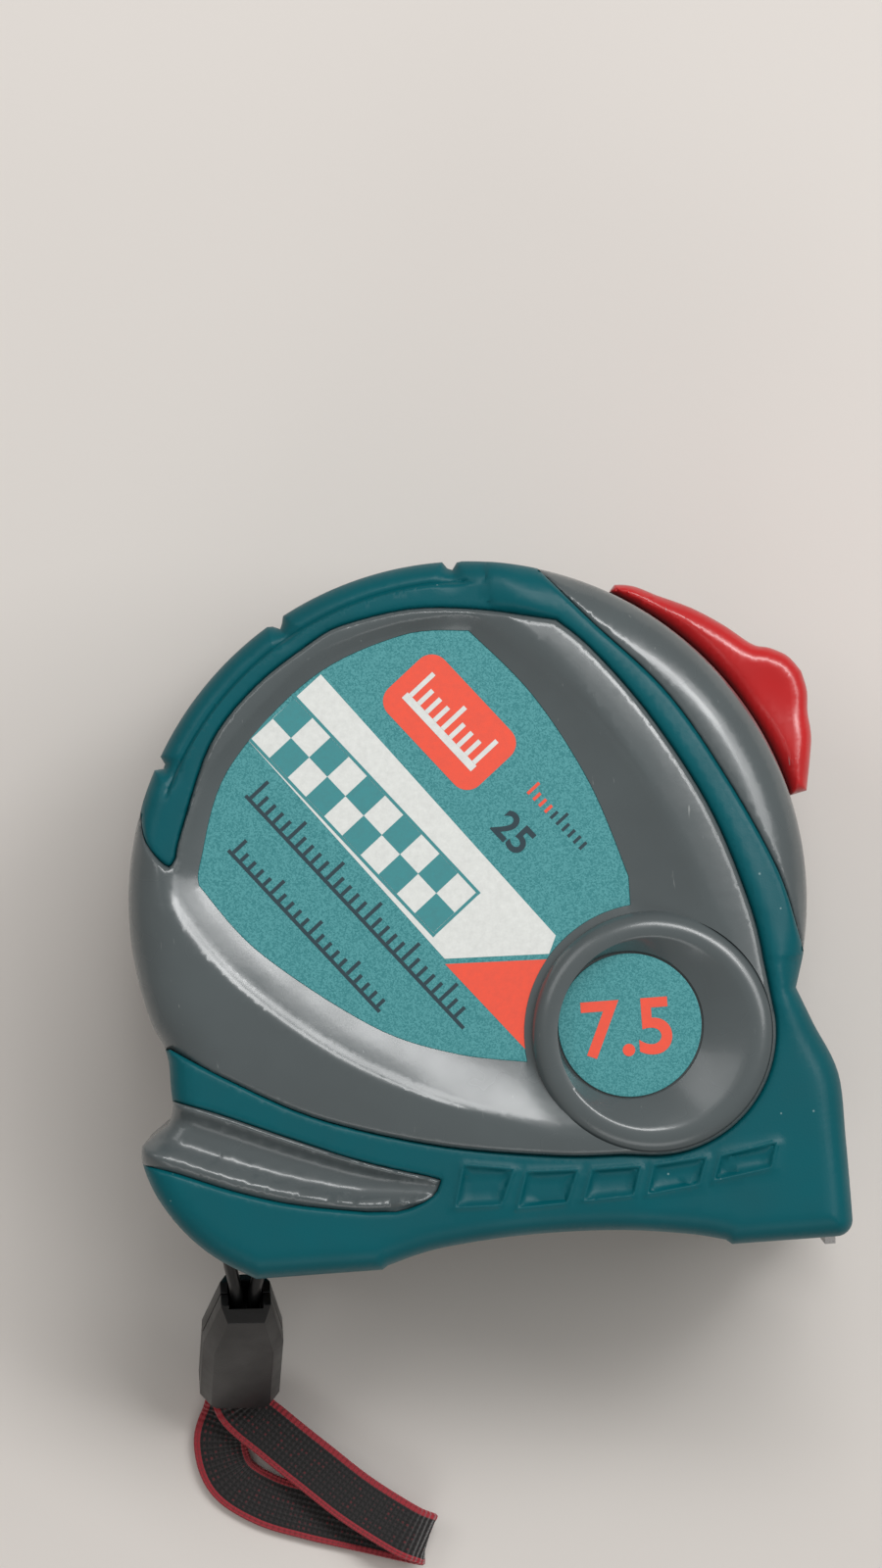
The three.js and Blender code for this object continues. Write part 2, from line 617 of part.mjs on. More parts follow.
// ---- blade's straight run ----
// An arched strip's section across X: the lower face through lowY at mid-width.
function crowned(half, lowY, radius, thickness, steps = 12) {
  const lower = [];
  const upper = [];
  for (let i = 0; i <= steps; i++) {
    const across = -half + (2 * half * i) / steps;
    const rise = radius - Math.sqrt(radius ** 2 - across ** 2);
    lower.push([across, lowY + rise]);
    upper.push([across, lowY + rise + thickness]);
  }
  return [...lower, ...upper.reverse()];
}
// A round or slotted hole along Y.
function holeDown(x, radius, slot, lowY, highY) {
  const outline = [
    ...arc([x + slot, 0], radius, -90, 90, 8),
    ...arc([x, 0], radius, 90, 270, 8),
  ];
  const geometry = new THREE.ExtrudeGeometry(
    new THREE.Shape(tidy(outline).map(([a, b]) => new THREE.Vector2(a, b))),
    { depth: highY - lowY, bevelEnabled: false },
  );
  geometry.rotateX(-Math.PI / 2);
  geometry.translate(0, lowY, 0);
  return solid(geometry);
}
const STRIP_START = -24 * K;
addNode(
  "blade_strip",
  cutFrom(
    bar(crowned(COIL_HALF, STRIP_BOTTOM_Y, CROWN_RADIUS, BLADE_THICKNESS), STRIP_START, HOOK_X - GAP),
    ...RIVETS_X.map((x) => holeDown(x, 1.1 + GAP, 0, STRIP_BOTTOM_Y - 1, STRIP_TOP_Y + 1)),
  ),
  PRINTED_STEEL,
);

// ---- end hook with its riveted tongue ----
const TONGUE_LOW = STRIP_TOP_Y + GAP;
const HOOK_PLATE = 1.2;
const HOOK_TIP_Y = -42.3 * K;
const tongue = bar(crowned(6, TONGUE_LOW, CROWN_RADIUS, 1, 8), 26.5 * K, HOOK_X + 0.5);
const plate = bar(
  [
    [-HOOK_HALF, TONGUE_LOW - 2],
    [-HOOK_HALF + 1.5, HOOK_TIP_Y + 2],
    [-HOOK_HALF + 3.5, HOOK_TIP_Y],
    [HOOK_HALF - 3.5, HOOK_TIP_Y],
    [HOOK_HALF - 1.5, HOOK_TIP_Y + 2],
    [HOOK_HALF, TONGUE_LOW - 2],
    [HOOK_HALF - 1.5, TONGUE_LOW + 1.2],
    [-HOOK_HALF + 1.5, TONGUE_LOW + 1.2],
  ],
  HOOK_X,
  HOOK_X + HOOK_PLATE,
);
const nailSlot = bar(
  [[-0.9, HOOK_TIP_Y + 2.6], [0.9, HOOK_TIP_Y + 2.6], [0.9, HOOK_TIP_Y + 5.4], [-0.9, HOOK_TIP_Y + 5.4]],
  HOOK_X - 1,
  HOOK_X + 3,
);
addNode(
  "end_hook",
  cutFrom(
    joined(tongue, plate),
    nailSlot,
    ...RIVETS_X.map((x) => holeDown(x - HOOK_FLOAT, 1.1 + GAP, HOOK_FLOAT, TONGUE_LOW - 2, TONGUE_LOW + 3)),
  ),
  BRIGHT_STEEL,
);
RIVETS_X.forEach((x, i) => {
  const rivet = turned([0, 0], [
    [0, STRIP_BOTTOM_Y - 0.75],
    [1.5, STRIP_BOTTOM_Y - 0.75],
    [1.9, STRIP_BOTTOM_Y - 0.25],
    [1.1, STRIP_BOTTOM_Y - 0.25],
    [1.1, TONGUE_LOW + 1.35],
    [2.2, TONGUE_LOW + 1.35],
    [1.8, TONGUE_LOW + 1.8],
    [0, TONGUE_LOW + 1.95],
  ], 20);
  const mesh = rivet.getMesh();
  const positions = new Float32Array(mesh.vertProperties);
  const upright = new THREE.BufferGeometry();
  upright.setAttribute("position", new THREE.BufferAttribute(positions, 3));
  upright.setIndex(new THREE.BufferAttribute(new Uint32Array(mesh.triVerts), 1));
  upright.rotateX(-Math.PI / 2);
  upright.translate(x, 0, 0);
  addNode(`hook_rivet_${i + 1}`, solid(upright), BRIGHT_STEEL);
});

// ---- mouth guide: the wear plate that the blade slides over ----
addNode(
  "mouth_guide",
  bar(
    [
      [-COIL_HALF, CHANNEL_BOTTOM - 1.9],
      [COIL_HALF, CHANNEL_BOTTOM - 1.9],
      [COIL_HALF, CHANNEL_BOTTOM + 0.2],
      [-COIL_HALF, CHANNEL_BOTTOM + 0.2],
    ],
    27.5 * K,
    36.7 * K,
  ),
  BLACK_NYLON,
);

// ---- lock: button, arm and brake pad turn together about the middle of the case ----
const BUTTON_HALF = 9;
const buttonOuter = [
  ...smooth(
    sized([[39.6, 9.6], [40.3, 13.5], [40.6, 16], [40.4, 18.6], [40.5, 21], [40.0, 23.3]]),
    8,
  ),
  ...smooth(sized([[38.6, 25.1], [36.6, 26.2], [34.6, 26.8], [31.5, 29.2], [28, 31.4], [24, 33.2]]), 8),
  ...smooth(sized([[22, 34.2], [20.6, 34.6], [19.4, 34.7]]), 3),
];
const buttonBlock = loft(
  [...buttonOuter, ...arc([0, 0], LOCK_INNER, 61, 13.7, 16)],
  [[-0.6, -BUTTON_HALF], [0, -BUTTON_HALF + 0.8], [0, BUTTON_HALF - 0.8], [-0.6, BUTTON_HALF]],
);
const stem = prism(sector([0, 0], ARM_OUTER + GAP, LOCK_INNER + 0.6, 30, 50, 8), -STEM_HALF, STEM_HALF);
addNode(
  "lock_button",
  cutFrom(
    buttonBlock,
    disc([0, 0], LOCK_INNER, -BUTTON_HALF - 1, BUTTON_HALF + 1, 180),
  ).add(stem),
  RED_ABS,
);
const arm = sector([0, 0], ARM_INNER, ARM_OUTER, -50, 50, 30);
addNode("lock_arm", prism(arm, -ARM_HALF, ARM_HALF), BLACK_NYLON);
addNode("brake_pad", prism(turnedBy(padLocked, LOCK_TRAVEL), -PAD_HALF, PAD_HALF), BRAKE_RUBBER);

// ---- belt clip on the lower side, and its screw ----
const clipFoot = -PANEL_TOP + 0.5 - GAP; // the seat in the shell, less the gap
const footLow = clipFoot - CLIP_SHEET;
const CLIP_BEND_Y = 27 * K;
const bendRadius = (clipFoot - FLOOR_Z) / 2;
const bendCentre = [CLIP_BEND_Y - bendRadius, (clipFoot + FLOOR_Z) / 2];
const clipSide = [
  ...arc(bendCentre, bendRadius, 90, -90, 14),
  ...sized([[-21, 0]]).map(([y]) => [y, FLOOR_Z]),
  ...arc([-21 * K, FLOOR_Z + 4], 4, 270, 215, 5).slice(1),
  ...arc([-21 * K, FLOOR_Z + 4], 4 - CLIP_SHEET, 215, 270, 5),
  ...arc(bendCentre, bendRadius - CLIP_SHEET, -90, 90, 14),
  [10 * K, footLow],
  [10 * K, clipFoot],
];
// The side view above is [y, z]; the strip is that outline as wide as the clip along X.
function clipStrip(outline, half) {
  const shape = new THREE.Shape(tidy(outline).map(([y, z]) => new THREE.Vector2(y, z)));
  const geometry = new THREE.ExtrudeGeometry(shape, { depth: 2 * half, bevelEnabled: false });
  geometry.rotateX(Math.PI / 2);
  geometry.rotateZ(Math.PI / 2);
  geometry.translate(-half, 0, 0);
  return solid(geometry);
}
const clipBody = clipStrip(clipSide, CLIP_HALF);
const clipHole = disc(CLIP_SCREW, 1.5 + GAP, -RIM_TOP - 3, -PANEL_TOP + 2, 20);
addNode("belt_clip", clipBody.subtract(clipHole), BRIGHT_STEEL);
addNode(
  "clip_screw",
  joined(
    disc(CLIP_SCREW, 3, footLow - GAP - 1, footLow - GAP, 24),
    disc(CLIP_SCREW, 1.5, footLow - GAP - 0.5, -CAVITY_HALF - 1.5, 16),
  ),
  BRIGHT_STEEL,
);

// ---- wrist strap: pin, cord loop, two-part clasp and webbing ----
addNode("strap_pin", disc(STRAP_PIN, 1.2, -STRAP_PIN_HALF, STRAP_PIN_HALF, 20), BRIGHT_STEEL);

// The clasp slopes from under the case down to the surface that the tape lies on.
const claspTop = new THREE.Vector3(-29.0 * K, -43.8 * K, -4.5);
const claspEnd = new THREE.Vector3(-31.2 * K, -56.2 * K, FLOOR_Z + 4.6);
const claspAlong = claspEnd.clone().sub(claspTop).normalize();
const claspAcross = new THREE.Vector3(-1, 0, 0).addScaledVector(claspAlong, claspAlong.x).normalize();
const claspOut = claspAcross.clone().cross(claspAlong).normalize();
const claspLength = claspTop.distanceTo(claspEnd);
const claspFrame = new THREE.Matrix4().makeBasis(claspAcross, claspAlong, claspOut).setPosition(claspTop);

function inClaspFrame(body) {
  const mesh = body.getMesh();
  const geometry = new THREE.BufferGeometry();
  geometry.setAttribute("position", new THREE.BufferAttribute(new Float32Array(mesh.vertProperties), 3));
  geometry.setIndex(new THREE.BufferAttribute(new Uint32Array(mesh.triVerts), 1));
  geometry.applyMatrix4(claspFrame);
  return solid(geometry);
}
const atClasp = (across, along, out) => {
  const p = new THREE.Vector3(across, along, out).applyMatrix4(claspFrame);
  return [p.x, p.y, p.z];
};
const CLASP_HALF = 4.7;
const claspOutline = [
  [-2.9, 0], [2.9, 0], [CLASP_HALF, 8.5], [CLASP_HALF, claspLength - 2],
  [CLASP_HALF - 1, claspLength], [-CLASP_HALF + 1, claspLength],
  [-CLASP_HALF, claspLength - 2], [-CLASP_HALF, 8.5],
];
const claspHalf = cutFrom(
  loft(claspOutline, [[0, HALF_SPLIT], [0, 2], [-1.2, 3.3]]),
  prism(box2(-2, -1, 2, 5), -1, 1.9),
  prism(box2(-STRAP_WIDTH / 2 - 0.4, claspLength - 4, STRAP_WIDTH / 2 + 0.4, claspLength + 1), -1, 2.2),
);
addNode("strap_clasp_upper", inClaspFrame(claspHalf), BLACK_NYLON);
addNode("strap_clasp_lower", inClaspFrame(mirrored(claspHalf)), BLACK_NYLON);

// The cord goes up from the clasp, round the pin and back.
const CORD_RADIUS = 0.75;
const LOOP = 2.15; // from the pin's axis to the cord's
const cordRoute = [
  atClasp(1.05, 4.4, 0),
  atClasp(1.05, 0, 0),
  [STRAP_PIN[0] - LOOP, STRAP_PIN[1] - 2.2, -0.6],
  [STRAP_PIN[0] - LOOP, STRAP_PIN[1], 0],
  [STRAP_PIN[0] - LOOP * 0.71, STRAP_PIN[1] + LOOP * 0.71, 0],
  [STRAP_PIN[0], STRAP_PIN[1] + LOOP, 0],
  [STRAP_PIN[0] + LOOP * 0.71, STRAP_PIN[1] + LOOP * 0.71, 0],
  [STRAP_PIN[0] + LOOP, STRAP_PIN[1], 0],
  [STRAP_PIN[0] + LOOP, STRAP_PIN[1] - 2.2, -0.6],
  atClasp(-1.05, 0, 0),
  atClasp(-1.05, 4.4, 0),
];
const roundSection = arc([0, 0], CORD_RADIUS, 0, 315, 7);
addNode(
  "strap_cord",
  swept(cordRoute, roundSection, 44, (along) => new THREE.Vector3(0.1, 0.2, 1).cross(along)),
  BLACK_NYLON,
);

// The webbing leaves the clasp, lies on the surface, folds back over itself and returns.
const webRoute = [
  atClasp(0, claspLength - 3.4, -1.1),
  atClasp(0, claspLength + 0.8, -1.1),
  [-32.6 * K, -59.2 * K, FLOOR_Z + 1.3],
  [-33.9 * K, -62.6 * K, FLOOR_Z + 1.0],
  [-32.9 * K, -66.8 * K, FLOOR_Z + 1.0],
  [-29.0 * K, -69.8 * K, FLOOR_Z + 1.0],
  [-23.8 * K, -71.8 * K, FLOOR_Z + 1.0],
  [-17.6 * K, -73.7 * K, FLOOR_Z + 1.0],
  [-12.6 * K, -75.2 * K, FLOOR_Z + 1.4],
  [-10.4 * K, -75.6 * K, FLOOR_Z + 3.2],
  [-12.8 * K, -74.2 * K, FLOOR_Z + 4.9],
  [-18.2 * K, -70.3 * K, FLOOR_Z + 4.2],
  [-23.0 * K, -66.0 * K, FLOOR_Z + 3.8],
  [-27.2 * K, -62.1 * K, FLOOR_Z + 3.7],
  atClasp(-0.4, claspLength + 2, 1.1),
  atClasp(0, claspLength - 3.4, 1.1),
];
const half = STRAP_WIDTH / 2;
const flatSection = [[-half, -0.35], [0, -0.55], [half, -0.35], [half, 0.35], [0, 0.55], [-half, 0.35]];
// The webbing lies level; in its steep fold its width stays square to the two strands.
const flatways = (along) => {
  const level = new THREE.Vector3(along.y, -along.x, 0);
  return level.length() > 0.45 ? level : new THREE.Vector3(0.4, 0.92, 0);
};
addNode("strap_webbing", swept(webRoute, flatSection, 60, flatways), WEBBING);

// ---- the part's frame: under the middle of the tape, without its strap ----
const STRAP_NODES = ["strap_cord", "strap_clasp_upper", "strap_clasp_lower", "strap_webbing"];
const bounds = new THREE.Box3();
root.updateMatrixWorld(true);
for (const node of root.children) {
  if (!STRAP_NODES.includes(node.name)) bounds.expandByObject(node, true);
}
root.position.set(
  -(bounds.min.x + bounds.max.x) / 2,
  -(bounds.min.y + bounds.max.y) / 2,
  -bounds.min.z,
);

export default root;
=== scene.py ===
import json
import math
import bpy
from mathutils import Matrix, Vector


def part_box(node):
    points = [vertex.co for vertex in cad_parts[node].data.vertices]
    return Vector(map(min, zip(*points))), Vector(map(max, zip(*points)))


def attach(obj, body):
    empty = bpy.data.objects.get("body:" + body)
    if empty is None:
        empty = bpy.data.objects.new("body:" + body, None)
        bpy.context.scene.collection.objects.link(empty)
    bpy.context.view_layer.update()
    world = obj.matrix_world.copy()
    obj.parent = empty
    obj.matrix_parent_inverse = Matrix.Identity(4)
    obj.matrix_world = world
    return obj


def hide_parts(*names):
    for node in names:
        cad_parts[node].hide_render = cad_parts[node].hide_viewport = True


bl_info = {
    "name": "Pocket tape measure",
    "version": (1, 0, 0),
    "blender": (4, 5, 0),
    "location": "3D View > Sidebar > Tape measure",
    "description": "Builds the looks of a pocket tape measure round its packed CAD frame",
    "category": "Add Mesh",
}

import bmesh
import bpy
import numpy as np
from bpy.props import FloatProperty, FloatVectorProperty, PointerProperty
from mathutils import Matrix, Vector
from mathutils.geometry import delaunay_2d_cdt

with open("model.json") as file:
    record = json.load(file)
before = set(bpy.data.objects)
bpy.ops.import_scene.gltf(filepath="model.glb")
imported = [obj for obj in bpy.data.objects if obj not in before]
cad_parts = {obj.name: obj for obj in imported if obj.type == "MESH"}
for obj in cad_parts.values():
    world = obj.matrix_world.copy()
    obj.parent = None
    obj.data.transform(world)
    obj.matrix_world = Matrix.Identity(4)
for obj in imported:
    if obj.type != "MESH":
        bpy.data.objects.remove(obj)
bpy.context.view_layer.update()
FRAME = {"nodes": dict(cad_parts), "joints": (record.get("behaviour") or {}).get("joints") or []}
MM = 0.001

# ---------------------------------------------------------------- places from the frame
# Shapes below are drawn in millimetres about the middle of the round case, which is the axis
# that the lock turns about, at half the case's thickness.
JOINTS = {joint["name"]: joint for joint in FRAME["joints"]}
CASE_MIDDLE = Vector(JOINTS["lock_slide"]["pos_m"])
PIN = (Vector(JOINTS["strap_swing"]["pos_m"]) - CASE_MIDDLE) / MM


def levels(node):
    """The lowest and highest corners of a CAD node in millimetres about the case's middle."""
    low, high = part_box(node)
    return (low - CASE_MIDDLE) / MM, (high - CASE_MIDDLE) / MM


RIM_TOP = levels("shell_upper")[1].z  # the round rims, the thickest place
JACKET_TOP = levels("jacket_upper")[1].z
PANEL_TOP = RIM_TOP - 0.9
LABEL_TOP = levels("label_upper")[0].z + 0.4
WALL_TOP = RIM_TOP - 3.7
HALF_SPLIT = levels("shell_upper")[0].z
BODY_RADIUS = 38.45
FLOOR_Z = -CASE_MIDDLE.z / MM

# ---------------------------------------------------------------- outlines


def smooth(points, steps):
    """Even steps along a smooth curve through the points."""
    given = np.array([points[0], *points, points[-1]], float)
    spans = len(points) - 1
    out = []
    for step in range(steps + 1):
        place = step / steps * spans
        span = min(int(place), spans - 1)
        t = place - span
        a, b, c, d = given[span : span + 4]
        v0, v1 = (c - a) / 2, (d - b) / 2
        out.append((2 * b - 2 * c + v0 + v1) * t**3 + (3 * c - 3 * b - 2 * v0 - v1) * t**2 + v0 * t + b)
    return [tuple(p) for p in out]


def arc(centre, radius, start, end, steps):
    """Even steps along an arc, from a start to an end in degrees."""
    angles = np.radians(np.linspace(start, end, steps + 1))
    return [(centre[0] + radius * math.cos(a), centre[1] + radius * math.sin(a)) for a in angles]


def circle(centre, radius, count):
    """Points round a circle, without the first one again at its end."""
    return arc(centre, radius, 0, 360 - 360 / count, count - 1)


RING_CENTRE = (19.8, -16.3)
RING_RADIUS = 13.8
DISC_CENTRE = (17.2, -15.3)
DISC_RADIUS = 8.1
SCREWS = ((-29, -29.2), (33.2, -21.5), (-16.5, 28.2), (9.8, 31.6))
BORE_RADIUS = 2.7  # of the screws' bores at the surface
SKIN_LAP = 0.35  # how far the panel's skin reaches in under the round rim
NOTCH_ANGLES = (152, 120.3, 88.8)  # degrees
NOTCH_DEPTH = 1.15
NOTCH_HALF_ANGLE = 1.15  # degrees


def round_back():
    """The round of the case from the nose to the tail, with the grip's notches cut in."""
    points = []
    for angle in np.linspace(-13.8, 198.2, 260):
        gap = min(abs(angle - notch) for notch in NOTCH_ANGLES)
        depth = NOTCH_DEPTH * max(0.0, 1 - gap / NOTCH_HALF_ANGLE) ** 0.7
        radius = BODY_RADIUS - depth
        points.append((radius * math.cos(math.radians(angle)), radius * math.sin(math.radians(angle))))
    return points


SILHOUETTE = [
    (27, -40.95),
    (38.6, -40.95),
    *arc((38.9, -39.05), 1.9, -80, -5, 5),
    *smooth([(40.8, -38.4), (40.7, -30), (40.4, -22.5), (38, -16.7), (36.3, -12.5)], 24)[1:],
    *round_back(),
    *smooth([(-36.5, -12), (-35.2, -15), (-35.1, -18.5), (-35, -20.7)], 10)[1:],
    *smooth([(-35, -20.7), (-35.6, -22.6), (-37.2, -23.8), (-38.8, -25)], 8)[1:],
    *smooth(
        [(-38.8, -25), (-38.9, -27), (-37.6, -30.8), (-35, -34.8), (-31.5, -38.2), (-27, -40.95)],
        24,
    )[1:],
    (-12.7, -40.95),
    *smooth([(-12, -40.5), (-6, -39), (4, -38.2), (14, -38.4), (22, -39.4), (26.3, -40.4)], 24),
]
PANEL = [
    *smooth([(9, 31.6), (3, 32.8), (-4.3, 33.3), (-12, 32), (-15.3, 30.5)], 16),
    *smooth([(-15.3, 30.5), (-22, 26), (-27.7, 19.7), (-31.7, 10), (-32.5, 7.3)], 20)[1:],
    *smooth([(-32.5, 7.3), (-33.4, 6.3), (-34.9, 7.7), (-36, 10), (-36.2, 13.5)], 12)[1:],
    (-42, 13.5),
    (-42, -14.3),
    *smooth([(-34.8, -14.3), (-28.7, -18), (-18.7, -23.2), (-5.3, -27.2), (8, -29.3), (15.5, -29.7)], 36),
    *arc(RING_CENTRE, RING_RADIUS, -96, 3, 40),
    *smooth([(32.8, -9.7), (31.7, -3), (28, 8.3), (22, 19.3), (16, 27.3), (12.2, 30.9)], 36),
]
FRONT = [
    *smooth([(10.7, 36.8), (16, 30.7), (24, 22), (30, 12), (35, 1.3), (37, -6.3), (37.6, -9.3)], 40),
    (46, -9.3),
    (46, 46),
    (8, 46),
]
SCOOP = [
    (-43, -27),
    (-43, -20.2),
    *smooth([(-34.8, -20.2), (-30, -21.9), (-22, -25.3), (-14, -28.5), (-6.7, -30.7)], 20),
    *smooth([(-5.4, -31.2), (-6.2, -32.8), (-8.7, -34), (-10.7, -34.4)], 8),
    *smooth([(-14, -34.2), (-22, -32.8), (-28.7, -30.8), (-35.3, -28.2), (-39.5, -26.9)], 18),
]
# The scoop's two rims, which meet beyond its tip.
SCOOP_UPPER = smooth(
    [(-43, -19), (-34.8, -20.2), (-30, -21.9), (-22, -25.3), (-14, -28.5), (-5, -31.4)],
    30,
)
SCOOP_LOWER = smooth(
    [(-43, -25), (-35.3, -28.2), (-28.7, -30.8), (-22, -32.8), (-14, -34.2), (-5, -33.6)],
    30,
)
LABEL = [
    *smooth([(2.3, 30.5), (-5.3, 30.5), (-16, 26.3), (-26, 16.7), (-29.8, 6.7), (-30.2, 4)], 40),
    *smooth([(-30.2, 4), (-24, -4), (-12, -13.2), (-3, -17), (5.2, -18.6)], 30)[1:],
    *arc(RING_CENTRE, 14.6, 189, 96, 24),
    *smooth([(18.3, 1.5), (14.7, 12.3), (9, 22.7), (2.3, 30.5)], 24)[:-1],
]
# The five small marks pressed into the base.
MARKS = [
    [(-4, -34.4), (1.3, -34.5), (3, -30.5), (-2.7, -29.6)],
    [(3, -35), (8.7, -34.8), (10.2, -31.1), (4.3, -30.9)],
    [(10.5, -34.7), (16.3, -34.5), (17.3, -31.2), (11.7, -31.2)],
    [(17.7, -34.5), (23.7, -33.8), (24.8, -30.7), (18.7, -31.2)],
    [(25.3, -33.5), (32, -32.5), (32.8, -29.6), (26.3, -30.7)],
]
# The crest of the panel, all round the label.
RIDGE = [
    *smooth(
        [(1, 32.5), (4, 31.6), (8, 28.4), (12, 24.4), (16, 19.6), (20, 13.8), (24, 6.2), (27.4, -3.2)],
        48,
    ),
    *arc(RING_CENTRE, 12, 30, -112, 30),
    *smooth(
        [
            (8, -26.6), (-2, -23.2), (-8.7, -20), (-17, -15),
            (-25.3, -8), (-30, -2.5), (-33, 2.5), (-33.4, 5.6),
        ],
        48,
    ),
    *smooth([(-32.6, 8.2), (-31, 11.6), (-27.4, 18), (-17, 27.8), (-11, 30.6), (-5.6, 31.9)], 40),
]


def even(outline, spacing):
    """The closed outline again with a point every spacing or less, corners kept."""
    out = []
    for start, end in zip(outline, [*outline[1:], outline[0]]):
        length = math.dist(start, end)
        if length < 0.02:
            continue
        parts = max(1, math.ceil(length / spacing))
        for i in range(parts):
            t = i / parts
            out.append((start[0] + (end[0] - start[0]) * t, start[1] + (end[1] - start[1]) * t))
    return np.array(out)


def inside(points, outline):
    """Which points lie inside the closed outline."""
    x, y = points[:, 0][:, None], points[:, 1][:, None]
    a = np.array(outline, float)
    b = np.roll(a, -1, axis=0)
    crosses = (a[:, 1] > y) != (b[:, 1] > y)
    with np.errstate(divide="ignore", invalid="ignore"):
        at = a[:, 0] + (y - a[:, 1]) * (b[:, 0] - a[:, 0]) / (b[:, 1] - a[:, 1])
    return (crosses & (x < at)).sum(1) % 2 == 1


def reach(points, line, closed=True):
    """The distance from each point to a line of segments."""
    a = np.array(line, float)
    b = np.roll(a, -1, axis=0) if closed else a[1:]
    a = a if closed else a[:-1]
    span = b - a
    square = np.maximum((span**2).sum(1), 1e-9)
    out = np.empty(len(points))
    for start in range(0, len(points), 2000):
        p = points[start : start + 2000, None]
        t = np.clip(((p - a) * span).sum(2) / square, 0, 1)
        out[start : start + 2000] = np.sqrt((((a + span * t[..., None]) - p) ** 2).sum(2)).min(1)
    return out


def rounded(distance, radius):
    """How far a rounded edge lies below the face, at a distance from the edge."""
    left = np.clip(1 - distance / radius, 0, 1)
    return radius * (1 - np.sqrt(1 - left**2))


def ease(t):
    """A smooth step from 0 to 1."""
    t = np.clip(t, 0, 1)
    return t * t * (3 - 2 * t)


# ---------------------------------------------------------------- mesh makers


def new_object(name, verts, faces, body, material):
    """A mesh piece that rides on a CAD body. Vertices are millimetres about the case's middle."""
    mesh = bpy.data.meshes.new(name)
    placed = [Vector(v) * MM + CASE_MIDDLE for v in verts]
    mesh.from_pydata(placed, [], [tuple(int(i) for i in f) for f in faces])
    mesh.validate()
    mesh.update()
    obj = bpy.data.objects.new(name, mesh)
    bpy.context.scene.collection.objects.link(obj)
    if material:
        mesh.materials.append(material)
    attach(obj, body)
    return obj


def face_outwards(obj):
    """Turns all faces to the outside of the piece."""
    made = bmesh.new()
    made.from_mesh(obj.data)
    bmesh.ops.recalc_face_normals(made, faces=made.faces)
    made.to_mesh(obj.data)
    made.free()


def shade(obj, angle=40):
    """Smooth shading with creases kept where faces meet more sharply than the angle."""
    obj.data.polygons.foreach_set("use_smooth", [True] * len(obj.data.polygons))
    obj.data.set_sharp_from_angle(angle=math.radians(angle))


def apply_modifiers(obj):
    """Replaces the mesh with what its modifiers make of it."""
    bpy.context.view_layer.update()
    graph = bpy.context.evaluated_depsgraph_get()
    made = bpy.data.meshes.new_from_object(obj.evaluated_get(graph))
    made.name = obj.name
    obj.modifiers.clear()
    obj.data = made


def bevel(obj, width, segments=3, angle=35):
    """Rounds the edges that are sharper than the angle; the width is in millimetres."""
    made = obj.modifiers.new("edges", "BEVEL")
    made.width = width * MM
    made.segments = segments
    made.limit_method = "ANGLE"
    made.angle_limit = math.radians(angle)
    made.use_clamp_overlap = True


def turned(name, centre, profile, body, material, segments):
    """A solid of revolution about the upright line through a centre, from (radius, z) points."""
    verts, faces = [], []
    count = len(profile)
    for i in range(segments):
        angle = 2 * math.pi * i / segments
        for radius, z in profile:
            verts.append((centre[0] + radius * math.cos(angle), centre[1] + radius * math.sin(angle), z))
    for i in range(segments):
        following = (i + 1) % segments
        for j in range(count):
            k = (j + 1) % count
            faces.append((i * count + j, following * count + j, following * count + k, i * count + k))
    obj = new_object(name, verts, faces, body, material)
    made = bmesh.new()
    made.from_mesh(obj.data)
    bmesh.ops.remove_doubles(made, verts=made.verts, dist=1e-6)
    made.to_mesh(obj.data)
    made.free()
    face_outwards(obj)
    shade(obj)
    return obj


def slab(name, outline, low, high, body, material, edge=0.0, segments=3):
    """A flat-topped solid of an outline, its upper and lower edges rounded."""
    points = even(outline, 1e9)
    count = len(points)
    verts = [(x, y, low) for x, y in points] + [(x, y, high) for x, y in points]
    faces = [tuple(range(count))[::-1], tuple(range(count, 2 * count))]
    for i in range(count):
        j = (i + 1) % count
        faces.append((i, j, count + j, count + i))
    obj = new_object(name, verts, faces, body, material)
    face_outwards(obj)
    if edge:
        bevel(obj, edge, segments)
    shade(obj)
    return obj


def swept(name, route, section, body, material, across):
    """A section carried along points. across gives the section's first axis from the tangent."""
    points = np.array(route, float)
    tangents = np.gradient(points, axis=0)
    tangents /= np.linalg.norm(tangents, axis=1)[:, None]
    verts, faces = [], []
    count = len(section)
    before = None
    for p, t in zip(points, tangents):
        a = np.array(across(t), float)
        a -= t * a.dot(t)
        a /= np.linalg.norm(a)
        if before is not None and a.dot(before) < 0:
            a = -a  # the section never turns over
        before = a
        b = np.cross(t, a)
        verts += [tuple(p + a * u + b * v) for u, v in section]
    for i in range(len(points) - 1):
        for j in range(count):
            k = (j + 1) % count
            faces.append((i * count + j, i * count + k, (i + 1) * count + k, (i + 1) * count + j))
    faces.append(tuple(range(count)))
    faces.append(tuple(range((len(points) - 1) * count, len(points) * count))[::-1])
    obj = new_object(name, verts, faces, body, material)
    face_outwards(obj)
    shade(obj)
    return obj


def curve_through(points, steps):
    """Even steps along a smooth curve through points in space."""
    given = np.array(points, float)
    given = np.vstack([2 * given[0] - given[1], given, 2 * given[-1] - given[-2]])
    fine = []
    for i in range(len(given) - 3):
        a, b, c, d = given[i : i + 4]
        for t in np.linspace(0, 1, 24, endpoint=False):
            v0, v1 = (c - a) / 2, (d - b) / 2
            fine.append((2 * b - 2 * c + v0 + v1) * t**3 + (3 * c - 3 * b - 2 * v0 - v1) * t**2 + v0 * t + b)
    fine.append(given[-2])
    fine = np.array(fine)
    gone = np.concatenate([[0], np.cumsum(np.linalg.norm(np.diff(fine, axis=0), axis=1))])
    wanted = np.linspace(0, gone[-1], steps + 1)
    return np.stack([np.interp(wanted, gone, fine[:, k]) for k in range(3)], axis=1), gone[-1]


# ---------------------------------------------------------------- materials

